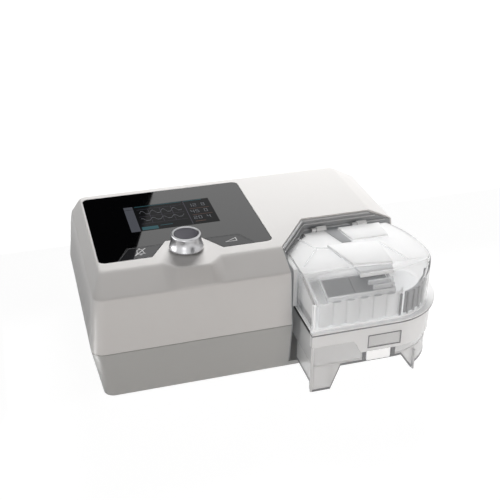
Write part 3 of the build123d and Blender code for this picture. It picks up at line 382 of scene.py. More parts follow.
@dataclass(frozen=True)
class PlainMetal(Finish):
    """Rolled or drawn metal, whose faint scratches along its length break the shine into streaks."""

    name: str
    colour: str
    roughness: float = 0.3
    scratch_mm: float = 4.0

    def shade(self, add: Adder) -> Node:
        """Build a metal whose roughness varies in streaks.

        Args:
            add: Adds a node.

        Returns:
            The shader.
        """
        place = add("ShaderNodeTexCoord").outputs["Object"]
        drawn = add("ShaderNodeMapping", {"Scale": (1.0, 12.0, 12.0)}, {"Vector": place})
        streak = add("ShaderNodeTexNoise", {"Scale": 1 / (self.scratch_mm * MM), "Detail": 4.0}, {"Vector": drawn})
        rough = add(
            "ShaderNodeMapRange", {"To Min": self.roughness * 0.7, "To Max": self.roughness * 1.4},
            {"Value": streak},
        )
        return add(
            "ShaderNodeBsdfPrincipled", {"Base Color": linear(self.colour), "Metallic": 1.0},
            {"Roughness": rough},
        )


@dataclass(frozen=True)
class Soft(Finish):
    """Moulded rubber, silicone, foam or felt, whose open grain swallows the light and looks dull."""

    name: str
    colour: str
    dark: str
    cell_mm: float
    depth_mm: float
    roughness: float = 0.8

    def shade(self, add: Adder) -> Node:
        """Build a dull surface with a cell pattern in colour and bump.

        Args:
            add: Adds a node.

        Returns:
            The shader.
        """
        place = add("ShaderNodeTexCoord").outputs["Object"]
        cells = add("ShaderNodeTexVoronoi", {"Scale": 1 / (self.cell_mm * MM)}, {"Vector": place})
        tone = add("ShaderNodeMix", {"data_type": "RGBA", 6: linear(self.dark), 7: linear(self.colour)}, {0: cells})
        bump = add("ShaderNodeBump", {"Strength": 0.6, "Distance": self.depth_mm * MM}, {"Height": cells})
        return add(
            "ShaderNodeBsdfPrincipled", {"Roughness": self.roughness, "IOR": 1.45},
            {"Base Color": tone.outputs[2], "Normal": bump},
        )


@dataclass(frozen=True)
class WhitePaper(Finish):
    """Matt white paper that shines a little, so the ground reads as white and keeps a light shadow."""

    name: str = "white_paper"

    def shade(self, add: Adder) -> Node:
        """Build dull paper that glows where it is directly seen.

        Args:
            add: Adds a node.

        Returns:
            The shader.
        """
        share = add("ShaderNodeMath", {"operation": "MULTIPLY", 1: 0.86}, {0: directly_seen(add)})
        paper = add("ShaderNodeBsdfDiffuse", {"Color": linear("#F3F3F2")})
        white = add("ShaderNodeEmission", {"Color": linear("#FFFFFF"), "Strength": 1.12})
        return add("ShaderNodeMixShader", None, {0: share, 1: paper, 2: white})


@dataclass(frozen=True)
class CardPaint(Finish):
    """Even paint or light of a card, which shows as one clean patch in what mirrors it."""

    name: str
    colour: str
    glow: float

    def shade(self, add: Adder) -> Node:
        """Build an even glow."""
        return add("ShaderNodeEmission", {"Color": linear(self.colour), "Strength": self.glow})


# ABS shells, spark-eroded: an even skin with a soft wide sheen
WHITE_ABS = MouldedPlastic("moulded_abs_warm_white", "#EAE8E6", "#E6E4E2")
GREY_ABS = MouldedPlastic("moulded_abs_cool_grey", "#C4C4C2", "#BFBFBD")
# Slate grey that paints shade: the dark tray under the lid's slope and the dark ribs on its right
SLATE_PAINTED_SHADE = MouldedPlastic("moulded_abs_slate_painted_shade", "#6C6D6F", "#666769", 0.38)
LINER_ABS = MouldedPlastic("moulded_abs_mid_grey", "#A4A5A7", "#9EA0A2", 0.38)
TRIM_ABS = MouldedPlastic("moulded_abs_light_grey", "#D0D1D2", "#CACBCC", 0.38)
DARK_ABS = MouldedPlastic("moulded_abs_graphite", "#4A4B4D", "#434446", 0.38)
BLACK_ABS = MouldedPlastic("moulded_abs_black", "#1A1A1B", "#151516", 0.4)
CARD_PLASTIC = MouldedPlastic("moulded_abs_navy", "#22365F", "#1E3157", 0.35)
# Inner mouldings: polypropylene looks waxy, and the last two whites carry painted glow that keeps them white in the
# shade
INNER_PLASTIC = MouldedPlastic("moulded_polypropylene_natural", "#C9CCCE", "#C0C3C6", 0.5)
WHITE_PLASTIC = MouldedPlastic("moulded_polypropylene_white", "#FAFAFA", "#F6F6F6", 0.35)
GLOW_PAINTED_WHITE = MouldedPlastic("moulded_pom_white_painted_glow", "#FCFCFC", "#F8F8F8", 0.35, brightener=0.36)
RIM_PLASTIC_GLOW_PAINTED = MouldedPlastic("moulded_polycarbonate_white_painted_glow", "#F2F2F2", "#EEEEEE", 0.3, brightener=0.15)
# Lacquer and laminate: closed surfaces with a narrower shine
DISC_PLASTIC = MouldedPlastic("lacquered_disc_violet_grey", "#35333D", "#302E38", 0.3, 0.005)
LAMINATE = MouldedPlastic("glass_epoxy_laminate_green", "#1E5A38", "#184D2F", 0.35)
# Polycarbonate from polished to etched: the less clear, the more it reads as white or grey
CLEAR = ClearPlastic("moulded_polycarbonate_clear")
LID_CLEAR = ClearPlastic("moulded_polycarbonate_matt_top", clearness=0.93, matt_clearness=0.25)
HAZED = ClearPlastic("moulded_polycarbonate_hazed", "#FFFFFF", 0.55, 0.08, 0.55)
FROSTED = ClearPlastic("moulded_polycarbonate_frosted", "#DCDCDC", 0.25, 0.3, 0.25)
PEARL = ClearPlastic("moulded_polycarbonate_opal", "#F6F6F6", 0.12, 0.18, 0.12)
MILKY = ClearPlastic("moulded_polycarbonate_milky", "#FFFFFF", 0.32, 0.12, 0.32)
SMOKED = ClearPlastic("moulded_polycarbonate_satin", "#E4E4E4", 0.5, 0.2, 0.5)
SATIN = ClearPlastic("moulded_polycarbonate_etched", "#F0F0F0", 0.36, 0.15, 0.36)
# Grey that paints shade: dark walls, strips and outlines put where shade falls
SHADED = ClearPlastic("moulded_polycarbonate_grey_painted_shade", "#97989A", 0.3, 0.25, 0.35)
# Polished black: a mirror for the studio
PANEL_GLASS = BlackGlass("float_glass_back_printed")
KEY_GLOSS = BlackGlass("polished_acrylic_black", "#242426", 1.62)
# Metals, bright where drawn and duller where rolled
STEEL = PlainMetal("drawn_steel_bright", "#B9BABC")
BRASS = PlainMetal("drawn_brass_contact", "#D0A860")
BARE_METAL = PlainMetal("rolled_aluminium_plate", "#A9AAAC", 0.35)
# Soft parts, dull and grained
RUBBER = Soft("moulded_rubber_black", "#1B1B1B", "#121212", 0.6, 0.03)
SILICONE = Soft("moulded_silicone_translucent", "#CBCFD2", "#BFC4C8", 1.0, 0.02, 0.5)
BLACK_SILICONE = Soft("moulded_silicone_black", "#2C2C2D", "#232324", 1.0, 0.02, 0.5)
FOAM = Soft("open_cell_foam_grey", "#55565A", "#2C2D2F", 1.2, 0.4)
FIBRE = Soft("felted_fibre_white", "#E4E4E0", "#CFCFCB", 0.9, 0.3)

FINISHES: dict[Finish, tuple[str, ...]] = {
    WHITE_ABS: ("upper_housing",),
    GREY_ABS: ("lower_housing", "filter_cover"),
    LINER_ABS: ("bay_liner", "hinge_pins"),
    DARK_ABS: ("outlet_port", "filter_frame", "heater_base"),
    BLACK_ABS: ("display_module", "key_switches", "blower_drive", "power_inlet", "card_reader"),
    CARD_PLASTIC: ("memory_card",),
    INNER_PLASTIC: (
        "display_frame", "muffler_box", "muffler_lid", "blower_volute", "blower_cover", "inlet_duct", "outlet_duct",
    ),
    WHITE_PLASTIC: ("dial_plunger", "impeller", "splash_plate"),
    # The latch catch's white is lifted by painted glow
    GLOW_PAINTED_WHITE: ("latch_catch",),
    DISC_PLASTIC: ("dial_disc",),
    LAMINATE: ("panel_board", "main_board"),
    CLEAR: ("tank_base", "tank_skirt", "tank_lid", "splash_baffle"),
    SATIN: ("lid_latch",),
    PANEL_GLASS: ("glass_panel",),
    KEY_GLOSS: ("mute_key", "ramp_key"),
    STEEL: (
        "case_screws", "board_screws", "dial_ring", "dial_shaft", "dial_encoder", "blower_motor", "heater_springs",
    ),
    BRASS: ("power_contacts",),
    BARE_METAL: ("heater_plate", "conductive_plate"),
    RUBBER: ("rubber_feet",),
    SILICONE: ("blower_mounts", "port_seals"),
    BLACK_SILICONE: ("lid_gasket",),
    FOAM: ("muffler_foam",),
    FIBRE: ("air_filter",),
}


# Lines and outlines

def clamp(value: float) -> float:
    """Keep a value between zero and one."""
    return max(0.0, min(1.0, value))


def ease(share: float) -> float:
    """Let a share start and end gently."""
    return share * share * (3 - 2 * share)


def curve(share: float, start: float, handle: float, end: float) -> float:
    """Value at a share of a quadratic curve."""
    return (1 - share) ** 2 * start + 2 * share * (1 - share) * handle + share ** 2 * end


def fillet(radius: float, angles: Sequence[float] = (0, 30, 60, 90)) -> Plan:
    """Steps round an edge.

    Args:
        radius: Its radius, or zero if it is sharp.
        angles: Where the steps lie, in degrees.

    Returns:
        How far in and how far short of the end each step lies.
    """
    if not radius:
        return [(0.0, 0.0)]
    turns = [math.radians(angle) for angle in angles]
    return [(radius * (1 - math.cos(turn)), radius * (1 - math.sin(turn))) for turn in turns]


def inset(outline: Sequence[Flat], amount: float, closed: bool = True) -> Plan:
    """Move an anticlockwise outline inwards along its corners' bisectors.

    Args:
        outline: Corners in order.
        amount: How far each side moves in.
        closed: Whether the last corner joins the first.

    Returns:
        As many corners, moved.
    """
    last = len(outline) - 1
    moved = []
    for place, corner in enumerate(outline):
        before = outline[place - 1] if closed or place > 0 else corner
        after = outline[(place + 1) % (last + 1)] if closed or place < last else corner
        normals = []
        for start, end in ((before, corner), (corner, after)):
            run = Vector((end[0] - start[0], end[1] - start[1]))
            if run.length > 1e-6:
                normals.append(Vector((-run.y, run.x)) / run.length)
        mean = sum(normals, Vector((0.0, 0.0))).normalized()
        stretch = 1 / max(0.4, mean.dot(normals[0]))
        moved.append((corner[0] + mean.x * amount * stretch, corner[1] + mean.y * amount * stretch))
    return moved


def arc(centre: Flat, radius: float, start: float, end: float, steps: int) -> Plan:
    """Points of an arc between two angles in degrees."""
    angles = [math.radians(start + (end - start) * step / steps) for step in range(steps + 1)]
    return [(centre[0] + radius * math.cos(angle), centre[1] + radius * math.sin(angle)) for angle in angles]


def arc_through(start: Flat, middle: Flat, end: Flat, steps: int) -> Plan:
    """Draw an anticlockwise arc through three points.

    Args:
        start: Where it starts.
        middle: A point on its way.
        end: Where it ends.
        steps: How many straight lines stand for it.

    Returns:
        Its points.
    """
    a, b, c = (Vector(point) for point in (start, middle, end))
    twice = 2 * (a.x * (b.y - c.y) + b.x * (c.y - a.y) + c.x * (a.y - b.y))
    squares = [point.length_squared for point in (a, b, c)]
    x = (squares[0] * (b.y - c.y) + squares[1] * (c.y - a.y) + squares[2] * (a.y - b.y)) / twice
    y = (squares[0] * (c.x - b.x) + squares[1] * (a.x - c.x) + squares[2] * (b.x - a.x)) / twice
    first, last = (math.degrees(math.atan2(point.y - y, point.x - x)) for point in (a, c))
    while last < first:
        last += 360
    return arc((x, y), math.hypot(a.x - x, a.y - y), first, last, steps)


def rectangle(left: float, right: float, front: float, rear: float, corner: float = 0.0, steps: int = 8) -> Plan:
    """Draw an anticlockwise rectangle that starts at the left end of its front side.

    Args:
        left: Its left side.
        right: Its right side.
        front: Its front side.
        rear: Its rear side.
        corner: Radius of its corners.
        steps: How many straight lines stand for a corner.

    Returns:
        Its points.
    """
    if not corner:
        return [(left, front), (right, front), (right, rear), (left, rear)]
    near, far, low, high = left + corner, right - corner, front + corner, rear - corner
    outline = []
    for turn, centre in enumerate(((far, low), (far, high), (near, high), (near, low))):
        outline += arc(centre, corner, turn * 90 - 90, turn * 90, steps)
    return outline[-1:] + outline[:-1]


def split(line: Sequence[Flat], axis: int, *limits: float) -> Plan:
    """Add a point to a line wherever it rises through a limit.

    Args:
        line: Its points in order.
        axis: 0 for limits across, 1 for limits from front to rear.
        limits: The limits from the lowest to the highest.

    Returns:
        Its points with the new ones.
    """
    points = list(line[:1])
    for start, end in zip(line, line[1:]):
        for limit in limits:
            if start[axis] < limit < end[axis]:
                share = (limit - start[axis]) / (end[axis] - start[axis])
                points.append((start[0] + share * (end[0] - start[0]), start[1] + share * (end[1] - start[1])))
        points.append(end)
    return points


# Meshes

def link(name: str, data: bpy.types.ID) -> Thing:
    """Make an object of some data and link it into the scene.

    Args:
        name: Its name.
        data: What it holds.

    Returns:
        The object.
    """
    thing = bpy.data.objects.new(name, data)
    bpy.context.scene.collection.objects.link(thing)
    return thing


class Shape:
    """Mesh under construction, in millimetres measured from the body's left and front seams.

    The methods that add a whole body return the shape, so that more can follow.
    """

    def __init__(self) -> None:
        """Start with nothing."""
        self.points: Ring = []
        self.faces: list[list[int]] = []

    def ring(self, points: Iterable[Point]) -> list[int]:
        """Add points and return their numbers."""
        start = len(self.points)
        self.points.extend(points)
        return list(range(start, len(self.points)))

    def bridge(self, low: Sequence[int], high: Sequence[int]) -> None:
        """Join two closed rings of equal length with quads.

        Args:
            low: Point numbers of one ring.
            high: Point numbers of the other.
        """
        for place in range(len(low)):
            after = (place + 1) % len(low)
            self.faces.append([low[place], low[after], high[after], high[place]])

    def stack(self, rings: Iterable[Iterable[Point]], capped: bool = True) -> list[list[int]]:
        """Join rings from the lowest to the highest.

        Args:
            rings: The rings.
            capped: Whether both ends get a face.

        Returns:
            Point numbers of each ring.
        """
        numbers = [self.ring(ring) for ring in rings]
        for low, high in zip(numbers, numbers[1:]):
            self.bridge(low, high)
        if capped:
            self.faces += [numbers[0][::-1], list(numbers[-1])]
        return numbers

    def wrap(self, rings: Iterable[Iterable[Point]]) -> "Shape":
        """Join rings in order, and the last one to the first."""
        numbers = self.stack(rings, False)
        self.bridge(numbers[-1], numbers[0])
        return self

    def prism(self, outline: Plan, low: float, high: float, rounding: float = 0.0, under: float = 0.0) -> "Shape":
        """Add an upright prism.

        Args:
            outline: Anticlockwise plan.
            low: Height of the lower end.
            high: Height of the upper end.
            rounding: Radius of the upper edge.
            under: Radius of the lower edge.

        Returns:
            The shape.
        """
        rings = [[(x, y, low + rise) for x, y in inset(outline, draw)] for rise, draw in fillet(under)]
        rings += [[(x, y, high - rise) for x, y in inset(outline, draw)] for draw, rise in fillet(rounding)]
        self.stack(rings)
        return self

    def box(self, left: float, right: float, front: float, rear: float, low: float, high: float,
            edge: float = 0.0) -> "Shape":
        """Add a box whose edges are all rounded if a radius is given."""
        return self.prism(rectangle(left, right, front, rear, edge, 3), low, high, edge, edge)

    def lathe(self, centre: Flat, profile: Iterable[Flat], steps: int) -> "Shape":
        """Add a body turned round an upright axis from radii and heights."""
        self.stack([(x, y, z) for x, y in arc(centre, radius, 0, 360, steps)[:-1]] for radius, z in profile)
        return self

    def tube(self, place: float, height: float, front: float, rear: float, outer: float, inner: float) -> "Shape":
        """Add a level tube that runs from front to rear.

        Args:
            place: Where its axis lies across.
            height: Height of its axis.
            front: Its front end.
            rear: Its rear end.
            outer: Its outer radius.
            inner: Its inner radius.

        Returns:
            The shape.
        """
        return self.wrap(
            [(x, y, z) for x, z in arc((place, height), radius, 0, 360, 40)[-2::-1]]
            for radius, y in ((outer, front), (outer, rear), (inner, rear), (inner, front))
        )

    def rod(self, left: float, right: float, back: float, height: float, radius: float) -> "Shape":
        """Add a level rod that runs from left to right."""
        self.stack([(x, y, z) for y, z in arc((back, height), radius, 0, 360, 24)[:-1]] for x in (left, right))
        return self

    def strip(self, line: Sequence[Flat], thickness: float, low: Level, high: Level, edge: float = 0.35) -> "Shape":
        """Add an upright wall along an open line, with broken edges.

        Args:
            line: Outer face of the wall in plan, with the wall's inside on its left.
            thickness: Thickness of the wall.
            low: Height of its lower edge, or a function that gives it at a point of the line.
            high: Height of its upper edge, or a function that gives it at a point of the line.
            edge: How far its edges are broken.

        Returns:
            The shape.
        """
        lines = [inset(line, draw, False) for draw in (0, edge, thickness - edge, thickness)]
        numbers = []
        for place, point in enumerate(line):
            out, out_edge, in_edge, inner = (each[place] for each in lines)
            bottom, top = (level(point) if callable(level) else level for level in (low, high))
            numbers.append(self.ring([
                (*out, bottom + edge), (*out, top - edge), (*out_edge, top), (*in_edge, top),
                (*inner, top - edge), (*inner, bottom + edge), (*in_edge, bottom), (*out_edge, bottom),
            ]))
        for first, second in zip(numbers, numbers[1:]):
            self.bridge(first[::-1], second[::-1])
        self.faces += [list(numbers[0]), numbers[-1][::-1]]
        return self

    def make(self, name: str) -> Thing:
        """Make a Blender object of it, in metres in the shared frame.

        Args:
            name: Name of the object.

        Returns:
            The object.
        """
        mesh = bpy.data.meshes.new(name)
        points = [((x + SEAM_LEFT) * MM, (y + SEAM_FRONT) * MM, z * MM) for x, y, z in self.points]
        mesh.from_pydata(points, [], self.faces)
        mesh.update()
        return link(name, mesh)


def cut(target: Thing, *tools: Thing) -> Thing:
    """Cut objects out of another one, and remove them.

    Args:
        target: What is cut.
        tools: What is cut out of it, one after another.

    Returns:
        The target with its new mesh.
    """
    for tool in tools:
        modifier = target.modifiers.new("cut", "BOOLEAN")
        modifier.operation = "DIFFERENCE"
        modifier.solver = "EXACT"
        modifier.object = tool
        graph = bpy.context.evaluated_depsgraph_get()
        mesh = bpy.data.meshes.new_from_object(target.evaluated_get(graph))
        target.modifiers.clear()
        old = target.data
        target.data = mesh
        bpy.data.meshes.remove(old)
        bpy.data.objects.remove(tool)
    return target


def smooth(thing: Thing) -> None:
    """Shade an object smooth except across its sharp edges.

    Args:
        thing: The object.
    """
    work = bmesh.new()
    work.from_mesh(thing.data)
    bmesh.ops.remove_doubles(work, verts=work.verts, dist=1e-6)
    bmesh.ops.dissolve_degenerate(work, edges=work.edges, dist=1e-7)
    for face in work.faces:
        face.smooth = True
    for edge in work.edges:
        edge.smooth = len(edge.link_faces) == 2 and edge.calc_face_angle(0.0) < math.radians(SHARP_ANGLE)
    work.to_mesh(thing.data)
    work.free()


# The machine

class Assembly:
    """Part of the machine that builds its pieces and reports them."""

    def keep(self, thing: Thing, finish: Finish, body: str, slot: str, *nodes: str) -> Thing:
        """Finish a modelled piece and put it in place of CAD nodes.

        Args:
            thing: The modelled piece.
            finish: Its finish.
            body: Body that it moves with.
            slot: Material slot of the record; it is not used.
            nodes: CAD nodes that it replaces.

        Returns:
            The piece.
        """
        smooth(thing)
        finish.dress(thing)
        if nodes:
            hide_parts(*nodes)
        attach(thing, body)
        LOG.info("built %s: %d faces", thing.name, len(thing.data.polygons))
        return thing

    def build(self) -> None:
        """Build all its pieces."""
        raise NotImplementedError


@dataclass
class Housing(Assembly):
    """White top cover with its crease, its rounded top edges and the swelling under the dial."""

    width: float = 265.0
    depth: float = 163.5
    seam: float = 45.4
    crease: float = 88.4
    top: float = TOP
    wall: float = 2.2
    roof: float = 3.4
    crown: float = 0.5
    crease_draw: float = 5.2
    top_draw: Span = (13.0, 25.3, 28.0, 7.3)
    corners: Point = (9.0, 8.0, 4.0)
    dial: Flat = DIAL_AXIS
    bulge_reach: float = 10.3
    bulge_front: float = 11.6
    bulge_flank: float = 11.0
    panel: Span = (14.6, 148.2, 39.5, 149.2)
    notch_front: float = 27.6
    notch_rear: float = 13.6
    notch_depth: float = 21.5
    key_depth: float = 17.0
    bay_corner: Flat = (151.8, 28.2)
    bay_rear: Flat = (180.7, 67.3)
    beyond: float = 20.0

    def draws(self, height: float, wall: float) -> tuple[list[float], float]:
        """Find how far the section is drawn in at a height.

        Args:
            height: Height above the table.
            wall: How much further in the section lies.

        Returns:
            Insets of the left, right, front and rear sides, and the corner radius.
        """
        if height <= self.crease:
            share = (height - self.seam) / (self.crease - self.seam)
            sides = [self.crease_draw * share - self.crown * math.sin(math.pi * share ** 3)] * 4
            start, end = self.corners[:2]
        else:
            share = (height - self.crease) / (self.top - self.crease)
            sides = [self.crease_draw + (side - self.crease_draw) * share for side in self.top_draw]
            start, end = self.corners[1:]
        return [side + wall for side in sides], max(start + (end - start) * share - wall, 1.5)

    def swelling(self, x: float, height: float, plain: float) -> float:
        """Draw the front out under the dial.

        Args:
            x: Place across.
            height: Height above the table.
            plain: Inset of the front without the swelling.

        Returns:
            Inset of the front.
        """
        rise = clamp((height - self.crease) / (self.top - self.crease))
        away = clamp((abs(x - self.dial[0]) - self.bulge_front - 1.2 * (1 - rise)) / self.bulge_flank)
        return plain - self.bulge_reach * rise * (1 - (0.55 * away + 0.45 * ease(away)))

    def section(self, height: float, wall: float, sides: Sequence[float], corner: float) -> Ring:
        """Draw the body's section at one height.

        Args:
            height: Height above the table.
            wall: How much further in it lies; only the outer section, at zero, has the swelling.
            sides: Insets of its sides.
            corner: Its corner radius.

        Returns:
            Its ring of points, dense in front of the dial.
        """
        left, right, front, rear = sides
        outline = rectangle(left, self.width - right, front, self.depth - rear, corner)
        dense = [self.dial[0] + step * 0.8 for step in range(-30, 31)]
        places = [22.0, 32.0, 42.0, 52.0, *dense, 110.0, 130.0, 150.0, 170.0, 190.0, 210.0, 226.0]
        line = [(x, front if wall else self.swelling(x, height, front)) for x in places]
        return [(x, y, height) for x, y in outline[:1] + line + outline[1:]]

    def turn(self, heights: Point, wall: float, steps: int, flat: float = 0.0) -> list[Ring]:
        """Draw a rounded edge that runs round the body.

        Args:
            heights: Where it starts, where the sharp edge would lie, and where it ends.
            wall: How much further in it lies.
            steps: How many steps it takes.
            flat: How far inwards it ends on the level top.

        Returns:
            Its rings.
        """
        drawn = [self.draws(height, wall)[0] for height in heights]
        rings = []
        for step in range(steps + 1):
            share = step / steps
            height = curve(share, *heights)
            sides = [curve(share, start, handle, end + flat) for start, handle, end in zip(*drawn)]
            corner = self.draws(height, wall)[1] + (share if flat else 0.0)
            rings.append(self.section(height, wall, sides, corner))
        return rings

    def rings(self, wall: float) -> list[Ring]:
        """Draw the body from the seam to the top, with a rounded crease.

        Args:
            wall: Zero for its outside with a rounded top edge, or how far in its inside lies.

        Returns:
            Its rings from the lowest to the highest.
        """
        heights = [self.seam + rise for rise in (0, 8, 16, 24, 30, 36)]
        rings = [self.section(height, wall, *self.draws(height, wall)) for height in heights]
        rings += self.turn((self.crease - 1.1, self.crease, self.crease + 0.7), wall, 8)
        if not wall:
            return rings + self.turn((self.top - 1.3, self.top, self.top), wall, 6, 1.9)
        ceiling = self.top - self.roof
        return rings + [self.section(ceiling, wall, *self.draws(ceiling, wall))]

    def bay(self, offset: float) -> Plan:
        """Draw the plan of the tank's bay, open to the front and the right.

        Args:
            offset: How far its walls are moved into the bay.

        Returns:
            Its points, the last two the ends of its slanted wall.
        """
        run_x, run_y = (end - start for start, end in zip(self.bay_corner, self.bay_rear))
        length = math.hypot(run_x, run_y)
        start = (self.bay_corner[0] + offset * run_y / length, self.bay_corner[1] - offset * run_x / length)
        left, right, rear = self.bay_corner[0] + offset, self.width + self.beyond, self.bay_rear[1] - offset
        near = (left, start[1] + (left - start[0]) * run_y / run_x)
        far = (start[0] + (rear - start[1]) * run_x / run_y, rear)
        return [(left, -self.beyond), (right, -self.beyond), (right, rear), far, near]

    def pocket(self, grow: float) -> Plan:
        """Draw the plan of the glass with its notch for the dial.

        Args:
            grow: How much larger than the glass it is.

        Returns:
            Its points.
        """
        left, right, front, rear = self.panel
        outline = rectangle(left - grow, right + grow, front - grow, rear + grow, 5.0)
        wide, narrow, deep = self.notch_front - grow, self.notch_rear - grow, self.notch_depth
        notch = [(-wide, 0.0), (-narrow, deep), (narrow, deep), (wide, 0.0)]
        return outline[:1] + [(self.dial[0] + x, front - grow + y) for x, y in notch] + outline[1:]

    def key_hole(self, side: int, grow: float) -> Plan:
        """Draw the plan of the hole round a key.

        Args:
            side: -1 for the left key and 1 for the right one.
            grow: How much larger than the key it is.

        Returns:
            Its four corners.
        """
        lean = (self.notch_front - self.notch_rear) / self.notch_depth
        front, rear = self.panel[2] - grow, self.panel[2] + self.key_depth + grow
        offsets = [
            (52.8 + grow, front), (43.3 + grow, rear),
            (self.notch_front - (self.key_depth + grow) * lean - grow, rear),
            (self.notch_front + grow * lean - grow, front),
        ]
        return [(self.dial[0] + side * offset, back) for offset, back in offsets][::-side]

    def build(self) -> None:
        """Build the top cover as one shell, and the ledges in it."""
        outer, inner = Shape(), Shape()
        outer.stack(self.rings(0.0))
        inner.stack([(x, y, z - 3.0 if z <= self.seam else z) for x, y, z in ring] for ring in self.rings(self.wall))
        cavity = cut(
            inner.make("housing_cavity"), Shape().prism(self.bay(-self.wall), 0.0, CUT_HIGH).make("housing_wall"),
        )
        holes = [
            Shape().prism(self.bay(0.0), 0.0, CUT_HIGH),
            Shape().prism(self.pocket(0.25), self.top - 1.8, self.top + 1),
            *(Shape().prism(self.key_hole(side, 0.35), CUT_LOW, CUT_HIGH) for side in (-1, 1)),
            Shape().box(17.6, 145.2, 64.0, 146.2, CUT_LOW, CUT_HIGH),
            Shape().lathe(self.dial, [(4.4, CUT_LOW), (4.4, CUT_HIGH)], 40),
        ]
        cover = cut(outer.make("housing_cover"), cavity, *(hole.make("housing_hole") for hole in holes))
        self.keep(cover, WHITE_ABS, "chassis", "white_cover", "upper_housing")
        for name, start, depth, low, high, right in (
            ("bay_rim", 0.1, 1.7, 96.2, 97.6, 239.0), ("bay_upper_ledge", 1.4, 1.3, 93.4, 94.6, 244.0),
            ("bay_lower_ledge", 1.4, 1.9, 88.6, 89.8, 253.0),
        ):
            far, near = self.bay(start)[3:]
            ledge = Shape().strip([(right, far[1]), far, near], depth, low, high, 0.3)
            self.keep(ledge.make(name), TRIM_ABS, "chassis", "dark_trim")


@dataclass
class Dial(Assembly):
    """Turned metal dial: a flared skirt, a waist, a polished rim and a dished disc."""

    centre: Flat = DIAL_AXIS
    base: float = TOP
    profile: tuple[Flat, ...] = (
        (10.6, 1.0), (12.6, 1.0), (13.05, 1.25), (13.2, 1.7), (13.15, 2.3), (12.9, 3.2), (12.5, 4.3),
        (12.1, 5.4), (11.75, 6.6), (11.5, 7.9), (11.38, 9.2), (11.36, 10.4), (11.42, 11.4), (11.35, 12.1),
        (11.1, 12.7), (10.7, 13.05), (10.2, 13.18), (9.7, 13.1), (9.35, 12.8), (9.2, 12.3), (9.0, 11.6),
    )
    face: tuple[Flat, ...] = (
        (8.9, 11.4), (8.9, 12.55), (8.6, 12.72), (7.5, 12.6), (5.0, 12.45), (2.0, 12.38), (0.3, 12.36),
    )

    def build(self) -> None:
        """Build the ring and the disc."""
        axis = ((self.centre[0] + SEAM_LEFT) * MM, (self.centre[1] + SEAM_FRONT) * MM)
        metal = TurnedAluminium("turned_aluminium_anodised", axis)
        for name, profile, steps, finish, slot, node in (
            ("dial_turned_ring", self.profile, 96, metal, "turned_metal", "dial_ring"),
            ("dial_dished_disc", self.face, 72, DISC_PLASTIC, "violet_grey", "dial_disc"),
        ):
            body = Shape().lathe(self.centre, [(radius, self.base + height) for radius, height in profile], steps)
            self.keep(body.make(name), finish, "dial", slot, node)


class Segment(Enum):
    """Bars of a plain number, as left, right, front and rear shares of its cell.

    A to F run clockwise from the top, and G is the one in the middle.
    """

    A = (0.0, 1.0, 0.88, 1.0)
    B = (0.8, 1.0, 0.5, 1.0)
    C = (0.8, 1.0, 0.0, 0.5)
    D = (0.0, 1.0, 0.0, 0.12)
    E = (0.0, 0.2, 0.0, 0.5)
    F = (0.0, 0.2, 0.5, 1.0)
    G = (0.0, 1.0, 0.44, 0.56)


DIGITS = {"0": "ADFBEC", "1": "BC", "2": "ABGED", "4": "FBGC", "5": "AFGCD", "8": "AGDFBEC"}


class Print(Assembly):
    """Flat marks that lie on the glass or on a key."""

    lift: float = 0.03
    thick: float = 0.02

    def lay(self, name: str, outlines: Iterable[Plan], ink: ScreenInk, body: str, slot: str, level: int = 0) -> None:
        """Lay flat marks of one ink.

        Args:
            name: Name of the piece.
            outlines: Plans of the marks.
            ink: Their finish.
            body: Body that they move with.
            slot: Material slot of the record.
            level: Layer that they lie in.
        """
        low = TOP + self.lift + level * 2 * self.thick
        shape = Shape()
        for outline in outlines:
            shape.prism(outline, low, low + self.thick)
        self.keep(shape.make(name), ink, body, slot)


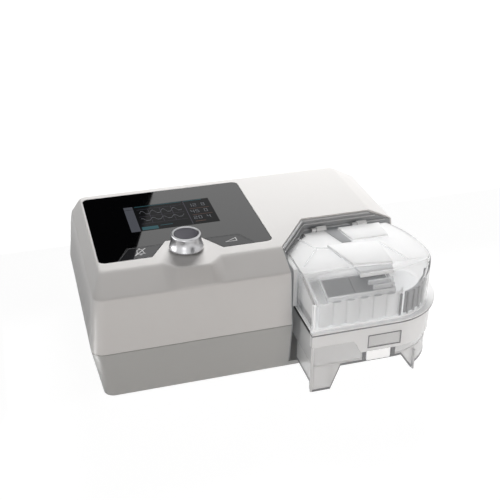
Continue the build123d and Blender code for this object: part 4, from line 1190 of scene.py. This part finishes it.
@dataclass
class Display(Print):
    """Generic picture on the display: a menu column, two charts, bars and plain numbers."""

    left: float = 45.5
    right: float = 117.0
    front: float = 81.5
    rear: float = 125.2
    split: float = 94.8
    digit: float = 5.2

    def sheet(self, name: str, boxes: Iterable[Span], ink: ScreenInk, level: int = 1) -> None:
        """Lay marks, given as left, right, front and rear, in a layer of the display."""
        self.lay(name, [rectangle(*box) for box in boxes], ink, "chassis", "display", level)

    def number(self, value: int, left: float, front: float) -> list[Span]:
        """Set a plain number.

        Args:
            value: The number.
            left: Where it starts.
            front: Where it stands.

        Returns:
            Its bars.
        """
        tall, wide, pitch = self.digit, self.digit * 0.55, self.digit * 0.75
        bars = []
        for place, digit in enumerate(str(value)):
            for a, b, c, d in (Segment[letter].value for letter in DIGITS[digit]):
                start = left + place * pitch
                bars.append((start + a * wide, start + b * wide, front + c * tall, front + d * tall))
        return bars

    def wave(self, middle: float, height: float, phase: float) -> list[Span]:
        """Draw a breathing curve in short bars.

        Args:
            middle: Where its middle lies.
            height: How far it swings.
            phase: Where it starts, in radians.

        Returns:
            Its bars.
        """
        left, steps = self.left + 11.0, 60
        pitch = (self.split - 3.0 - left) / steps
        boxes = []
        for step in range(steps):
            level = middle + max(-0.6, math.sin(step / steps * 4 * math.tau + phase)) * height
            boxes.append((left + step * pitch, left + (step + 1) * pitch, level, level + 0.7))
        return boxes

    def build(self) -> None:
        """Build the layers of the picture."""
        ground, menu, teal, pale, violet, amber = (
            ScreenInk(f"display_{name}", colour, glow) for name, colour, glow in (
                ("ground", "#141517", 0.5), ("menu_grey", "#55575E", 0.8), ("teal", "#35626A", 0.7),
                ("pale", "#6C6E73", 0.8), ("violet", "#4A4852", 0.7), ("amber", "#6A5148", 0.7),
            )
        )
        left, right, front, rear, middle = self.left, self.right, self.front, self.rear, self.split
        self.sheet("display_background", [(left, right, front, rear)], ground, 0)
        self.sheet(
            "display_menu_column", [(left, left + 7.4, front, rear - 5.4), (left, left + 7.4, rear - 4.9, rear)], menu,
        )
        self.sheet("display_header_lines", [
            (left + 9.0, middle - 1.0, rear - 1.6, rear - 0.8), (middle + 1.0, right - 6.0, rear - 1.6, rear - 0.8),
            (left + 9.0, left + 22.0, front + 1.2, front + 6.4), (left + 24.0, left + 34.0, front + 5.6, front + 6.4),
        ], teal)
        self.sheet("display_curves", self.wave(111.5, 3.6, 0.0) + self.wave(99.5, 2.6, 1.1), pale)
        self.sheet("display_rules", [
            (middle, middle + 0.7, front + 1.0, rear - 1.0),
            *((left + 10.0, middle - 2.0, y, y + 0.35) for y in (93.0, 105.4, 118.4)),
            *((x, x + 0.35, 93.0, 118.4) for x in (64.5, 74.0, 83.5)),
        ], violet)
        numbers = []
        for y, first, second in ((112.6, 12, 8), (101.4, 45, 0), (90.2, 20, 4)):
            numbers += self.number(first, 98.0, y) + self.number(second, 109.0, y)
        self.sheet("display_numbers", numbers, pale)
        self.sheet("display_markers", [
            (98.0, 114.5, 108.8, 109.4), (98.0, 114.5, 97.6, 98.2), (98.0, 106.5, 86.0, 86.8),
        ], amber)


@dataclass
class KeyIcons(Print):
    """Printed icons on the two keys: a bell and a rising triangle, each with its key's fine outline."""

    bell: Flat = (46.6, 49.2)
    triangle: Flat = (117.4, 49.2)
    ink: ScreenInk = ScreenInk("printed_ink_white", "#D8D8D8", 0.75, 1.3)
    edge_ink: ScreenInk = ScreenInk("printed_ink_grey", "#77787A", 0.35, 1.3)

    def frame(self, corners: Plan, width: float) -> list[Plan]:
        """Draw narrow bars along the sides of an outline.

        Args:
            corners: Its corners, anticlockwise.
            width: Width of the bars.

        Returns:
            Plans of the bars.
        """
        inner = inset(corners, width)
        after = [place + 1 for place in range(len(corners) - 1)] + [0]
        return [[corners[place], corners[end], inner[end], inner[place]] for place, end in enumerate(after)]

    def build(self) -> None:
        """Build the icons and the outlines."""
        x, y = self.bell
        bell = [(x - 4.0, y - 3.0), (x + 4.0, y - 3.0), (x + 2.7, y - 1.3), (x + 2.5, y + 1.6)]
        bell += arc((x, y + 1.9), 2.4, 0, 180, 12)[1:] + [(x - 2.7, y - 1.3)]
        marks = self.frame(bell, 0.6)
        marks.append(arc((x, y - 3.7), 1.1, 180, 360, 8))
        marks.append(arc((x, y + 5.0), 0.6, 0, 360, 10)[:-1])
        marks.append([(x - 4.9, y - 4.6), (x - 4.3, y - 5.1), (x + 5.0, y + 4.8), (x + 4.4, y + 5.3)])
        self.lay("mute_bell_icon", marks, self.ink, "mute", "gloss_black")
        x, y = self.triangle
        triangle = [(x - 5.6, y - 2.6), (x + 4.4, y - 2.6), (x + 4.4, y + 3.0)]
        self.lay("ramp_triangle_icon", self.frame(triangle, 0.75), self.ink, "ramp", "gloss_black")
        for side, body in ((-1, "mute"), (1, "ramp")):
            outline = self.frame(Housing().key_hole(side, -0.75), 0.35)
            self.lay(f"{body}_key_outline", outline, self.edge_ink, body, "gloss_black")


@dataclass
class Tank(Assembly):
    """Clear water tank: vessel, skirt with two feet, sloping lid with flange, apron, grip and tubes."""

    left: float = 156.9
    right: float = 264.1
    front: float = -30.3
    rear: float = 57.6
    corner: float = 41.1
    waist: Flat = (261.0, 35.5)
    rear_right: float = 251.0
    chamfer: tuple[Flat, Flat] = ((154.5, 26.6), (182.7, 64.6))
    wall: float = 1.8
    rim: float = 52.9
    lid_low: float = 54.5
    lid_top: float = 90.6
    slope_start: float = -4.1
    slope_drop: float = 9.0
    flange: float = 2.0
    apron_low: float = 31.6
    apron_high_low: float = 43.0
    latch: Span = (202.5, 227.5, 36.0, 45.5)
    tubes: Flat = (203.0, 236.0)
    tube_height: float = 67.0
    hinges: Flat = (187.0, 222.0)
    hinge_back: float = 60.2
    wall_low: float = 58.2
    wall_top: float = 77.0
    pleat_start: float = 163.0
    pleat_pitch: float = 10.6
    splash_front: float = -25.9
    foot_ends: Span = (173.6, 181.0, 231.0, 245.0)

    def add(self, name: str, shape: Shape, finish: Finish, body: str = "lid", *nodes: str) -> None:
        """Keep a shape as a clear piece."""
        self.keep(shape.make(name), finish, body, "clear_plastic", *nodes)

    def outline(self, grow: Point = (0.0, 0.0, 0.0)) -> Plan:
        """Draw the plan: straight left, front and rear, round at the front right.

        Args:
            grow: How far the left side, the front and the right side lie further out.

        Returns:
            Its points, anticlockwise from the front left corner.
        """
        left, front, right = self.left - grow[0], self.front - grow[1], self.right + grow[2]
        radius = self.corner + grow[2] * 0.6
        near, far = self.chamfer
        slope = (far[0] - near[0]) / (far[1] - near[1])
        diagonal = radius * (1 - math.cos(math.radians(45)))
        end = (right, front + radius)
        waist = (self.waist[0] + grow[2] * 0.8, self.waist[1])
        turn = self.rear - 10.6
        return [
            (left, front), (190.0, front), (197.0, front),
            *arc_through((right - radius, front), (right - diagonal, front + diagonal), end, 28),
            *arc_through(end, waist, (self.rear_right + grow[2] * 0.5, self.rear), 14)[1:],
            (178.0, self.rear), (178.0, self.rear - 5.1), (near[0] + (turn - near[1]) * slope, turn),
            (left, near[1] + (left - near[0]) / slope), (left, 10.8), (left, self.slope_start),
        ]

    def front_line(self, grow: Point, run: float) -> Plan:
        """Draw an open line from the left side round the front to the right side.

        Args:
            grow: How far its three sides lie further out.
            run: How far behind the front it starts on the left side.

        Returns:
            Its points.
        """
        outline = self.outline(grow)
        left, front = outline[0]
        line = [(left, self.front + run), (left, front)]
        line += [(x, front) for x in (173.6, 181.0, 190.0, 192.5, 195.0, 197.0)]
        return line + [(x, y) for x, y in outline[3:] if y < 10.8 and x > 200]

    def ceiling(self, point: Flat, drop: float = 0.0) -> float:
        """Height of the lid's top over a point of the plan."""
        grade = self.slope_drop / (-self.front + self.slope_start)
        return self.lid_top - max(0.0, self.slope_start - point[1]) * grade - drop

    def canopy(self, shape: Shape, outline: Plan, drop: float, rounding: float) -> list[int]:
        """Add a shell under the lid's two top planes.

        Args:
            shape: Where it is added.
            outline: Its plan.
            drop: How far under the lid's top it lies.
            rounding: Radius of its top edge.

        Returns:
            Point numbers of its lowest ring.
        """
        rings = [[(x, y, self.lid_low) for x, y in outline]]
        for draw, rise in fillet(rounding, (0, 25, 50, 70, 90)):
            rings.append([(x, y, self.ceiling((x, y), drop) - rise) for x, y in inset(outline, draw)])
        numbers = shape.stack(rings, False)
        for side in (-1, 1):
            group = [n for n in numbers[-1] if side * (shape.points[n][1] - self.slope_start) >= -0.6]
            mid_x, mid_y = (sum(shape.points[n][axis] for n in group) / len(group) for axis in (0, 1))
            group.sort(key=lambda n: math.atan2(shape.points[n][1] - mid_y, shape.points[n][0] - mid_x))
            shape.faces.append(group)
        return numbers[0]

    def lid(self) -> None:
        """Build the lid with its tubes and hinge barrels."""
        outline = self.outline()
        outline = split(outline + outline[:1], 1, self.slope_start)[:-1]
        shape = Shape()
        outer = self.canopy(shape, outline, 0.0, 1.6)
        count = len(shape.faces)
        inner = self.canopy(shape, inset(outline, self.wall), 2.0, 1.0)
        shape.faces[count:] = [face[::-1] for face in shape.faces[count:]]
        shape.bridge(outer[::-1], inner[::-1])
        for place in self.tubes:
            shape.tube(place, self.tube_height, self.rear - self.wall, 64.0, 9.5, 7.5)
        barrels = Shape()
        for hinge in self.hinges:
            ends = (hinge + 4.3, hinge + 12.3)
            barrels.rod(*ends, self.hinge_back, self.lid_top, 2.6)
            barrels.box(*ends, self.rear - 1.0, self.hinge_back, self.lid_top - 2.6, self.lid_top)
        self.add("lid_hinge_barrels", barrels, PEARL)
        self.add("tank_clear_lid", shape, LID_CLEAR, "lid", "tank_lid")

    def rim_and_apron(self) -> None:
        """Build the flange, a thin dark line under it that paints its shadow, and the apron with its latch window and a
        dark frame that paints the shade round it.
        """
        half = self.flange / 2
        levels = [(0.8 * (1 - x), half * y) for x, y in arc((0.0, 0.0), 1.0, -90, 90, 4)]
        outline = self.outline((0.5, 1.7, 7.2))
        # The flange's white carries painted glow that lightens it in the lid's shade
        self.add("tank_lid_flange", Shape().wrap(
            [(x, y, self.lid_low + half + rise) for x, y in inset(outline, draw)]
            for draw, rise in [(8.6, -half), *levels, (8.6, half)]
        ), RIM_PLASTIC_GLOW_PAINTED)
        line = self.front_line((0.4, 1.6, 6.9), 30.0)
        # A thin dark strip under the flange's edge paints its shadow
        self.add("lid_flange_painted_shadow_line", Shape().strip(line, 0.7, 53.6, 54.45, 0.15), SHADED)

        def low(point: Flat) -> float:
            """Height of the apron's lower edge, which steps down to the right."""
            return self.apron_high_low + (self.apron_low - self.apron_high_low) * ease(clamp((point[0] - 190.0) / 7.0))

        line = self.front_line((0.0, 1.0, 3.6), 4.0)
        apron = Shape().strip(line, 1.6, low, self.lid_low + 0.3).make("tank_lid_apron")
        left, right, bottom, top = self.latch
        hole = rectangle(left - 0.4, right + 0.4, bottom - 0.4, top + 0.4, 1.6, 5)
        window = Shape()
        window.stack([(x, y, z) for x, z in hole] for y in (-20.0, -45.0))
        self.keep(cut(apron, window.make("window")), MILKY, "lid", "clear_plastic")
        # Dark bars round the window paint the shade of its recess
        frame_bars = Shape()
        for a, b, c, d in (
            (left - 0.9, right + 0.9, bottom - 1.0, bottom - 0.3), (left - 0.9, right + 0.9, top + 0.3, top + 1.0),
            (left - 1.0, left - 0.3, bottom - 0.9, top + 0.9), (right + 0.3, right + 1.0, bottom - 0.9, top + 0.9),
        ):
            frame_bars.box(a, b, -31.7, -31.1, c, d, 0.15)
        self.add("lid_window_painted_shade_frame", frame_bars, SHADED)

    def grip(self) -> None:
        """Build the raised blocks on the lid's top and the guide on its left side; the greyer hollow under the grip's
        lip and the dark groove inlay paint shade, and the pale guide paints light in the gap by the bay.
        """
        for name, finish, prisms in (
            ("tank_lid_grip", PEARL, (
                ([(198.2, -2.6), (228.2, -6.6), (230.2, 27.0), (189.6, 30.6)], 90.2, 92.9, 0.7),
                (rectangle(199.6, 226.4, -13.6, -12.4), 86.9, 89.9, 0.5, 0.3),
            )),
            # Greyer hollow under the grip's lip: painted shade
            ("tank_lid_grip_hollow_painted_shade", SMOKED, (
                ([(199.6, -12.4), (226.4, -12.4), (227.0, -6.8), (198.6, -3.0)], 87.4, 91.2, 0.6),
            )),
            ("tank_lid_rear_pad", PEARL, (
                ([(212.6, 34.6), (242.6, 34.6), (244.2, 56.2), (208.2, 56.8)], 90.2, 92.0, 0.6),
            )),
            # Dark raised inlay that paints the shadow of a groove
            ("tank_lid_groove_painted_shadow", LINER_ABS, (
                ([(203.4, 34.2), (211.6, 34.2), (207.2, 57.0), (197.0, 57.0)], 90.4, 90.9, 0.2),
            )),
            # Pale guide in the bay gap that paints light there
            ("tank_lid_side_guide_painted_light", PEARL, (
                ([(153.9, 5.2), (157.4, 5.2), (157.4, 29.6), (155.6, 27.4), (153.9, 25.4)], 58.0, 90.3, 0.5, 0.3),
            )),
        ):
            shape = Shape()
            for prism in prisms:
                shape.prism(*prism)
            self.add(name, shape, finish)

    def creases(self) -> None:
        """Build fine raised creases between the facets of the lid's top."""
        half = 0.75
        shape = Shape()
        for path in (
            [(172.5, 50.0), (180.1, 32.1), (191.3, 28.9), (194.6, 12.0)], [(181.4, 31.6), (162.6, 7.5)],
            [(231.5, 27.5), (240.4, 4.2), (242.0, -3.6)], [(158.6, -2.9), (194.6, -2.9)],
        ):
            for (x, y), (end_x, end_y) in zip(path, path[1:]):
                run = math.hypot(end_x - x, end_y - y)
                right, ahead = (y - end_y) / run * half, (end_x - x) / run * half
                shape.prism([
                    (x - right, y - ahead), (end_x - right, end_y - ahead), (end_x + right, end_y + ahead),
                    (x + right, y + ahead),
                ], 90.3, 90.85, 0.1)
        self.add("tank_lid_creases", shape, SMOKED)

    def beads(self) -> None:
        """Build the pale rounded bead up the front left corner, which paints its highlight, and the dark edge of the
        gasket, which also paints the shadow in the gap.
        """
        # Pale beads paint the highlight along the rounded front left corner
        for name, body, grow, low, high in (
            ("tank_corner_painted_highlight_bead", "tank", 0.7, 1.6, 52.6), ("lid_corner_painted_highlight_bead", "lid", 0.0, 56.6, 79.6),
        ):
            circle = arc((158.7 - 0.4 * grow, -28.5 - 0.6 * grow), 1.1, 0, 360, 14)[:-1]
            self.add(name, Shape().prism(circle, low, high, 0.4, 0.4), PEARL, body)
        # The gasket's black edge, which also paints the shadow in the gap between lid and vessel
        edge = Shape().box(155.9, 157.1, -27.0, 8.5, 54.2, 56.2, 0.3)
        self.keep(edge.make("lid_gasket_edge_and_painted_shadow"), BLACK_SILICONE, "lid", "silicone")

    def ribs(self) -> None:
        """Build the dark tray under the slope, which paints shade there, and the ribs and bars over it."""
        for name, finish, drops, places in (
            # Slate tray that paints the shade seen through the slope
            ("tank_shaded_tray", SLATE_PAINTED_SHADE, (7.6, 6.6), (
                (171.0, 193.0, -24.4, -4.8), (193.4, 222.0, -24.4, -4.8),
            )),
            ("tank_lid_ribs", SMOKED, (5.0, 2.05), (
                (160.5, 161.9, -27.5, 14.0), (169.0, 170.2, -25.0, -5.0), (169.0, 223.0, -26.2, -25.0),
                (169.0, 223.0, -6.2, -5.0), (221.8, 223.0, -25.0, -5.0), (205.0, 225.0, -17.0, -15.4),
                (207.0, 224.0, -21.6, -20.2),
            )),
        ):
            shape = Shape()
            for place in places:
                shape.stack([(x, y, self.ceiling((x, y), drop)) for x, y in rectangle(*place)] for drop in drops)
            self.add(name, shape, finish)

    def side_walls(self) -> None:
        """Build inner walls along the lid's sides that paint light and shade: a dark right wall with dark ribs, and a
        left wall that is light above and dark below.
        """
        right = [(x, y) for x, y in inset(self.outline(), 3.9) if x > 230.0 and y < -4.0]
        left = [(159.6, y) for y in (24.0, 10.0, -4.0, -24.0)]
        for name, line, finish, low, top in (
            # Grey walls paint shade; the lighter upper left wall paints light
            ("tank_right_painted_shade_wall", right, SHADED, self.wall_low, self.wall_top),
            ("tank_left_painted_light_wall", left, SATIN, 65.0, self.lid_top),
            ("tank_left_painted_shade_strip", left, SHADED, self.wall_low, 64.8),
        ):
            self.add(name, Shape().strip(line, 1.0, low, lambda point: min(top, self.ceiling(point, 3.2)), 0.2), finish)
        # Dark ribs paint streaks of shade down the right side
        ribs = Shape()
        for x, y in inset(self.outline(), 3.0)[5:28:3]:
            top = min(self.wall_top, self.ceiling((x, y), 6.0))
            ribs.prism(rectangle(x - 0.8, x + 0.8, y - 0.8, y + 0.8, 0.4, 3), self.wall_low + 0.4, top)
        self.add("tank_right_painted_shade_ribs", ribs, SLATE_PAINTED_SHADE)

    def splash_wall(self) -> None:
        """Build the pleated wall that breaks splashes, with a rounded end to the right and caps on its pleats."""
        front = self.splash_front
        starts = [self.pleat_start + pleat * self.pleat_pitch for pleat in range(6)]
        pleat = ((0.0, 0.3), (0.5, -0.7), (2.2, -1.5), (5.0, -1.5), (8.0, -0.8), (9.8, 0.3))
        line = [(start + x, front + y) for start in starts for x, y in pleat]
        line += [(226.6, front), (229.0, front + 1.2), (230.6, front + 3.2)]
        wall = Shape().strip(line, 1.2, 58.0, lambda point: min(79.0, self.ceiling(point, 4.4)), 0.2)
        self.add("tank_splash_wall", wall, FROSTED, "lid", "splash_baffle")
        caps = Shape()
        for start in starts[1:]:
            caps.box(start + 0.4, start + 5.6, front - 1.7, front - 0.9, 78.2, 79.2, 0.2)
        self.add("tank_splash_caps", caps, LINER_ABS)

    def vessel(self) -> None:
        """Build the vessel with its sunk bottom, its dark catch posts, whose grey paints shade beside the catch, and
        the ears of its hinge.
        """
        outline = inset(self.outline((0.0, 1.0, 3.6)), 2.0)
        inner = inset(outline, self.wall)
        levels = [(inset(outline, draw), 22.6 + rise) for rise, draw in fillet(2.0)]
        levels += [(outline, self.rim), (inner, self.rim), (inner, 26.0), (inset(inner, 1.6), 24.4)]
        shape = Shape()
        shape.stack([(x, y, height) for x, y in plan] for plan, height in levels)
        shape.prism(rectangle(172.0, 250.0, 9.0, 48.0, 6.0), 17.0, 22.7, 0.0, 1.0)
        ears = Shape()
        for hinge in self.hinges:
            ears.box(hinge, hinge + 4.0, 58.9, 61.5, 49.9, self.lid_top, 0.5)
            ears.box(hinge, hinge + 4.0, 54.6, 61.5, 49.9, self.rim)
            ears.rod(hinge, hinge + 4.0, self.hinge_back, self.lid_top, 1.7)
        self.add("tank_hinge_ears", ears, PEARL, "tank")
        # Grey posts beside the catch paint shade there
        posts = Shape()
        for left, right in ((198.6, 201.4), (221.6, 225.4)):
            posts.box(left, right, -30.2, -29.2, 23.2, 31.4, 0.3)
        self.add("tank_catch_posts", posts, SHADED, "tank")
        self.add("tank_clear_vessel", shape, HAZED, "tank", "tank_base")

    def foot(self, point: Flat) -> float:
        """Height of the skirt's lower edge: the feet, the arch and the raised sides.

        Args:
            point: Place on the skirt in plan.

        Returns:
            The height.
        """
        x, y = point
        left_end, left_arch, right_arch, right_end = self.foot_ends
        if y > -25.0:
            return 7.7
        if x <= left_arch:
            return 1.2 + 20.4 * clamp((x - left_end) / (left_arch - left_end))
        return 1.2 + 20.4 * clamp((right_end - x) / (right_end - right_arch))

    def skirt(self) -> None:
        """Build the clear skirt with its two front feet, their ribs, and a dark strip along their edge that paints
        shade.
        """
        outline = inset(self.outline((0.0, 1.0, 3.6)), 1.75)
        left, front = outline[0]
        line = [(left, 5.9), (left, -24.9), (left, -25.1), (left, front)] + [(x, front) for x in (173.6, 181.0, 206.0)]
        side = [point for point in outline[3:] if point[0] > 210]
        side = split(split(side, 0, *self.foot_ends[2:]), 1, -25.1, -24.9, 5.9)
        line += [(round(x, 3), round(y, 3)) for x, y in side if y <= 5.95]
        shape = Shape().strip(line, self.wall, self.foot, 25.0)
        for x, low in ((174.4, 3.2), (242.8, 4.6)):
            shape.box(x, x + 1.2, front + 1.6, front + 8.0, low, 22.4)
        self.add("tank_clear_skirt", shape, SATIN, "tank", "tank_skirt")
        # A dark strip along the lower edge paints shade there
        moved = inset(line, -0.2, False)
        heights = {point: self.foot(old) for point, old in zip(moved, line)}
        edge = Shape().strip(moved, 0.6, lambda point: heights[point], lambda point: heights[point] + 2.0, 0.2)
        self.add("tank_skirt_painted_shade_edge", edge, SHADED, "tank")

    def build(self) -> None:
        """Build the lid, the vessel and the skirt."""
        for part in (
            self.lid, self.rim_and_apron, self.grip, self.creases, self.beads, self.ribs, self.side_walls,
            self.splash_wall, self.vessel, self.skirt,
        ):
            part()


@dataclass
class HeaterSprings(Assembly):
    """Four coiled springs that carry the heater plate and flatten when the tank presses it down."""

    places: tuple[Flat, ...] = ((186.0, 23.0), (236.0, 23.0), (186.0, 34.0), (236.0, 34.0))
    radius: float = 3.0
    wire: float = 0.5
    turns: int = 4
    low: float = 8.0
    high: float = 14.3
    pressed_share: float = 0.86

    def build(self) -> None:
        """Build the coils and put them in place of the CAD springs."""
        shape = Shape()
        steps = self.turns * 24
        for x, y in self.places:
            rings = []
            for step in range(steps + 1):
                turn = step / steps * self.turns * math.tau
                circle = arc((self.radius, self.low + (self.high - self.low) * step / steps), self.wire, 0, 360, 8)
                ahead, aside = math.cos(turn), math.sin(turn)
                rings.append([(x + reach * ahead, y + reach * aside, z) for reach, z in circle[-2::-1]])
            shape.stack(rings)
        coils = self.keep(shape.make("heater_coil_springs"), STEEL, "chassis", "steel", "heater_springs")
        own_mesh(coils)


class CarriedOver(Assembly):
    """CAD pieces that are shown as they are, each with its finish."""

    def build(self) -> None:
        """Give every CAD piece its finish."""
        for finish, nodes in FINISHES.items():
            for node in nodes:
                finish.dress(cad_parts[node])
                LOG.info("dressed %s in %s", node, finish.name)


# The studio

class CardRole(Enum):
    """What a card round the object does."""

    MIRRORED = "shows only in reflections"
    SOAKING = "soaks up soft light from its side"
    SHADING = "keeps a lamp off a surface"


def upright(start: Flat, end: Flat, low: float, high: float) -> Ring:
    """Corners of an upright card over a line in plan, in metres."""
    return [(*start, low), (*end, low), (*end, high), (*start, high)]


@dataclass
class Studio:
    """Camera, floor, lamps and cards."""

    camera_place: Point = (-0.16695, -0.5976, 0.4246)
    yaw: float = 16.01
    pitch: float = -29.61
    focal_pixels: float = 873.4
    frame_pixels: float = 500.0
    ambient: float = 0.1
    floor_side: float = 6.0
    aim: Point = (0.0, 0.0, 0.05)

    def camera(self) -> None:
        """Set up the camera at the viewing angle."""
        data = bpy.data.cameras.new("camera")
        data.sensor_width = 36.0
        data.lens = self.focal_pixels / self.frame_pixels * data.sensor_width
        data.clip_start = 0.01
        data.clip_end = 50.0
        thing = link("camera", data)
        thing.location = self.camera_place
        thing.rotation_euler = (math.radians(90 + self.pitch), 0.0, math.radians(-self.yaw))
        bpy.context.scene.camera = thing

    def world(self) -> None:
        """Make the world white for the camera and in reflections, and weak soft light for the object."""
        world = bpy.data.worlds.new("studio")
        world.use_nodes = True
        world.node_tree.nodes.clear()
        add = partial(add_node, world.node_tree)
        strength = add("ShaderNodeMapRange", {"To Min": self.ambient, "To Max": 1.0}, {"Value": directly_seen(add)})
        sky = add("ShaderNodeBackground", {"Color": linear("#FFFFFF")}, {"Strength": strength})
        add("ShaderNodeOutputWorld", links={"Surface": sky})
        bpy.context.scene.world = world

    def lamp(self, name: str, place: Point, size: float, watts: float, colour: str = "#FFFFFF") -> None:
        """Add a square soft lamp that points at the object and isn't reflected.

        Args:
            name: Name of the lamp.
            place: Where it stands.
            size: Its side.
            watts: Its power.
            colour: Its colour.
        """
        data = bpy.data.lights.new(name, "AREA")
        data.shape = "SQUARE"
        data.size = size
        data.energy = watts
        data.color = linear(colour)[:3]
        thing = link(name, data)
        thing.location = place
        thing.rotation_euler = (Vector(self.aim) - Vector(place)).to_track_quat("-Z", "Y").to_euler()
        thing.visible_glossy = thing.visible_camera = thing.visible_transmission = False

    def sheet(self, name: str, corners: Ring, finish: Finish) -> Thing:
        """Add a flat staged sheet.

        Args:
            name: Name of the sheet.
            corners: Its corners.
            finish: Its finish.

        Returns:
            The sheet.
        """
        mesh = bpy.data.meshes.new(name)
        mesh.from_pydata(corners, [], [tuple(range(len(corners)))])
        thing = link(name, mesh)
        finish.dress(thing)
        return thing

    def card(self, name: str, role: CardRole, corners: Ring, glow: float = 0.0) -> None:
        """Add a card that the camera doesn't see.

        Args:
            name: Name of the card.
            role: What it does.
            corners: Its corners.
            glow: How strongly it shines white; a card that doesn't is black.
        """
        thing = self.sheet(name, corners, CardPaint(f"{name}_paint", "#FFFFFF" if glow else "#000000", glow))
        thing.visible_camera = thing.visible_transmission = False
        thing.visible_glossy = role is CardRole.MIRRORED
        thing.visible_diffuse = role is CardRole.SOAKING
        thing.visible_shadow = role is CardRole.SHADING

    def build(self) -> None:
        """Build the whole studio."""
        bpy.context.scene.view_settings.view_transform = "Standard"
        self.camera()
        self.world()
        side = self.floor_side
        self.sheet("floor", [(x, y, 0.0) for x, y in rectangle(-side, side, -side, side)], WhitePaper())
        # Mirrored cards: the dark one behind gives the glass its slanted shine, the others mark the left corner
        back, ground = 1.5, 0.001
        slanted = ((-1.2, 0.2), (0.363, 0.2), (0.165, 0.795), (0.112, 0.953), (0.0, 1.3), (-1.2, 1.3))
        self.card("dark_flag", CardRole.MIRRORED, [(x, back, z) for x, z in slanted])
        self.card("front_strip", CardRole.MIRRORED, upright((-1.4, -1.8), (-0.5, -1.8), 0.0, 0.3), 4.0)
        self.card("front_flag", CardRole.MIRRORED, upright((0.4, -1.75), (1.5, -1.75), 0.0, 0.8))
        self.card("left_strip", CardRole.MIRRORED, upright((-1.4, 1.3), (-1.4, -0.15), 0.0, 0.24), 6.0)
        strip = ((-0.3, -0.095), (-0.158, -0.082), (-0.158, -0.062), (-0.3, -0.045))
        self.card("corner_strip", CardRole.MIRRORED, [(x, y, ground) for x, y in strip], 11.0)
        flag = ((-0.32, -0.3), (-0.12, -0.3), (-0.136, -0.09), (-0.32, -0.12))
        self.card("corner_flag", CardRole.MIRRORED, [(x, y, ground) for x, y in flag])
        # Cards that darken the left flank and keep the rear lamp off the low walls
        self.card("left_flag", CardRole.SOAKING, upright((-0.34, -0.1), (-0.34, 0.6), 0.0, 0.5))
        self.card("side_flag", CardRole.SHADING, upright((-0.2, -0.066), (-0.2, 0.2), 0.0, 0.1))
        self.card("rear_flag", CardRole.SHADING, upright((-0.4, 0.18), (0.4, 0.18), 0.0, 0.122))
        self.lamp("back_softbox", (0.35, 1.15, 0.72), 0.7, 31.5)
        self.lamp("front_softbox", (0.55, -2.3, 0.3), 1.2, 24.0, "#FFFAF7")
        self.lamp("left_softbox", (-1.5, -0.12, 0.45), 0.4, 5.2)


def main() -> None:
    logging.basicConfig(level=logging.INFO)
    Studio().build()
    CarriedOver().build()
    for assembly in (Housing(), Dial(), Display(), KeyIcons(), Tank(), HeaterSprings()):
        assembly.build()


if __name__ == "__main__":
    main()
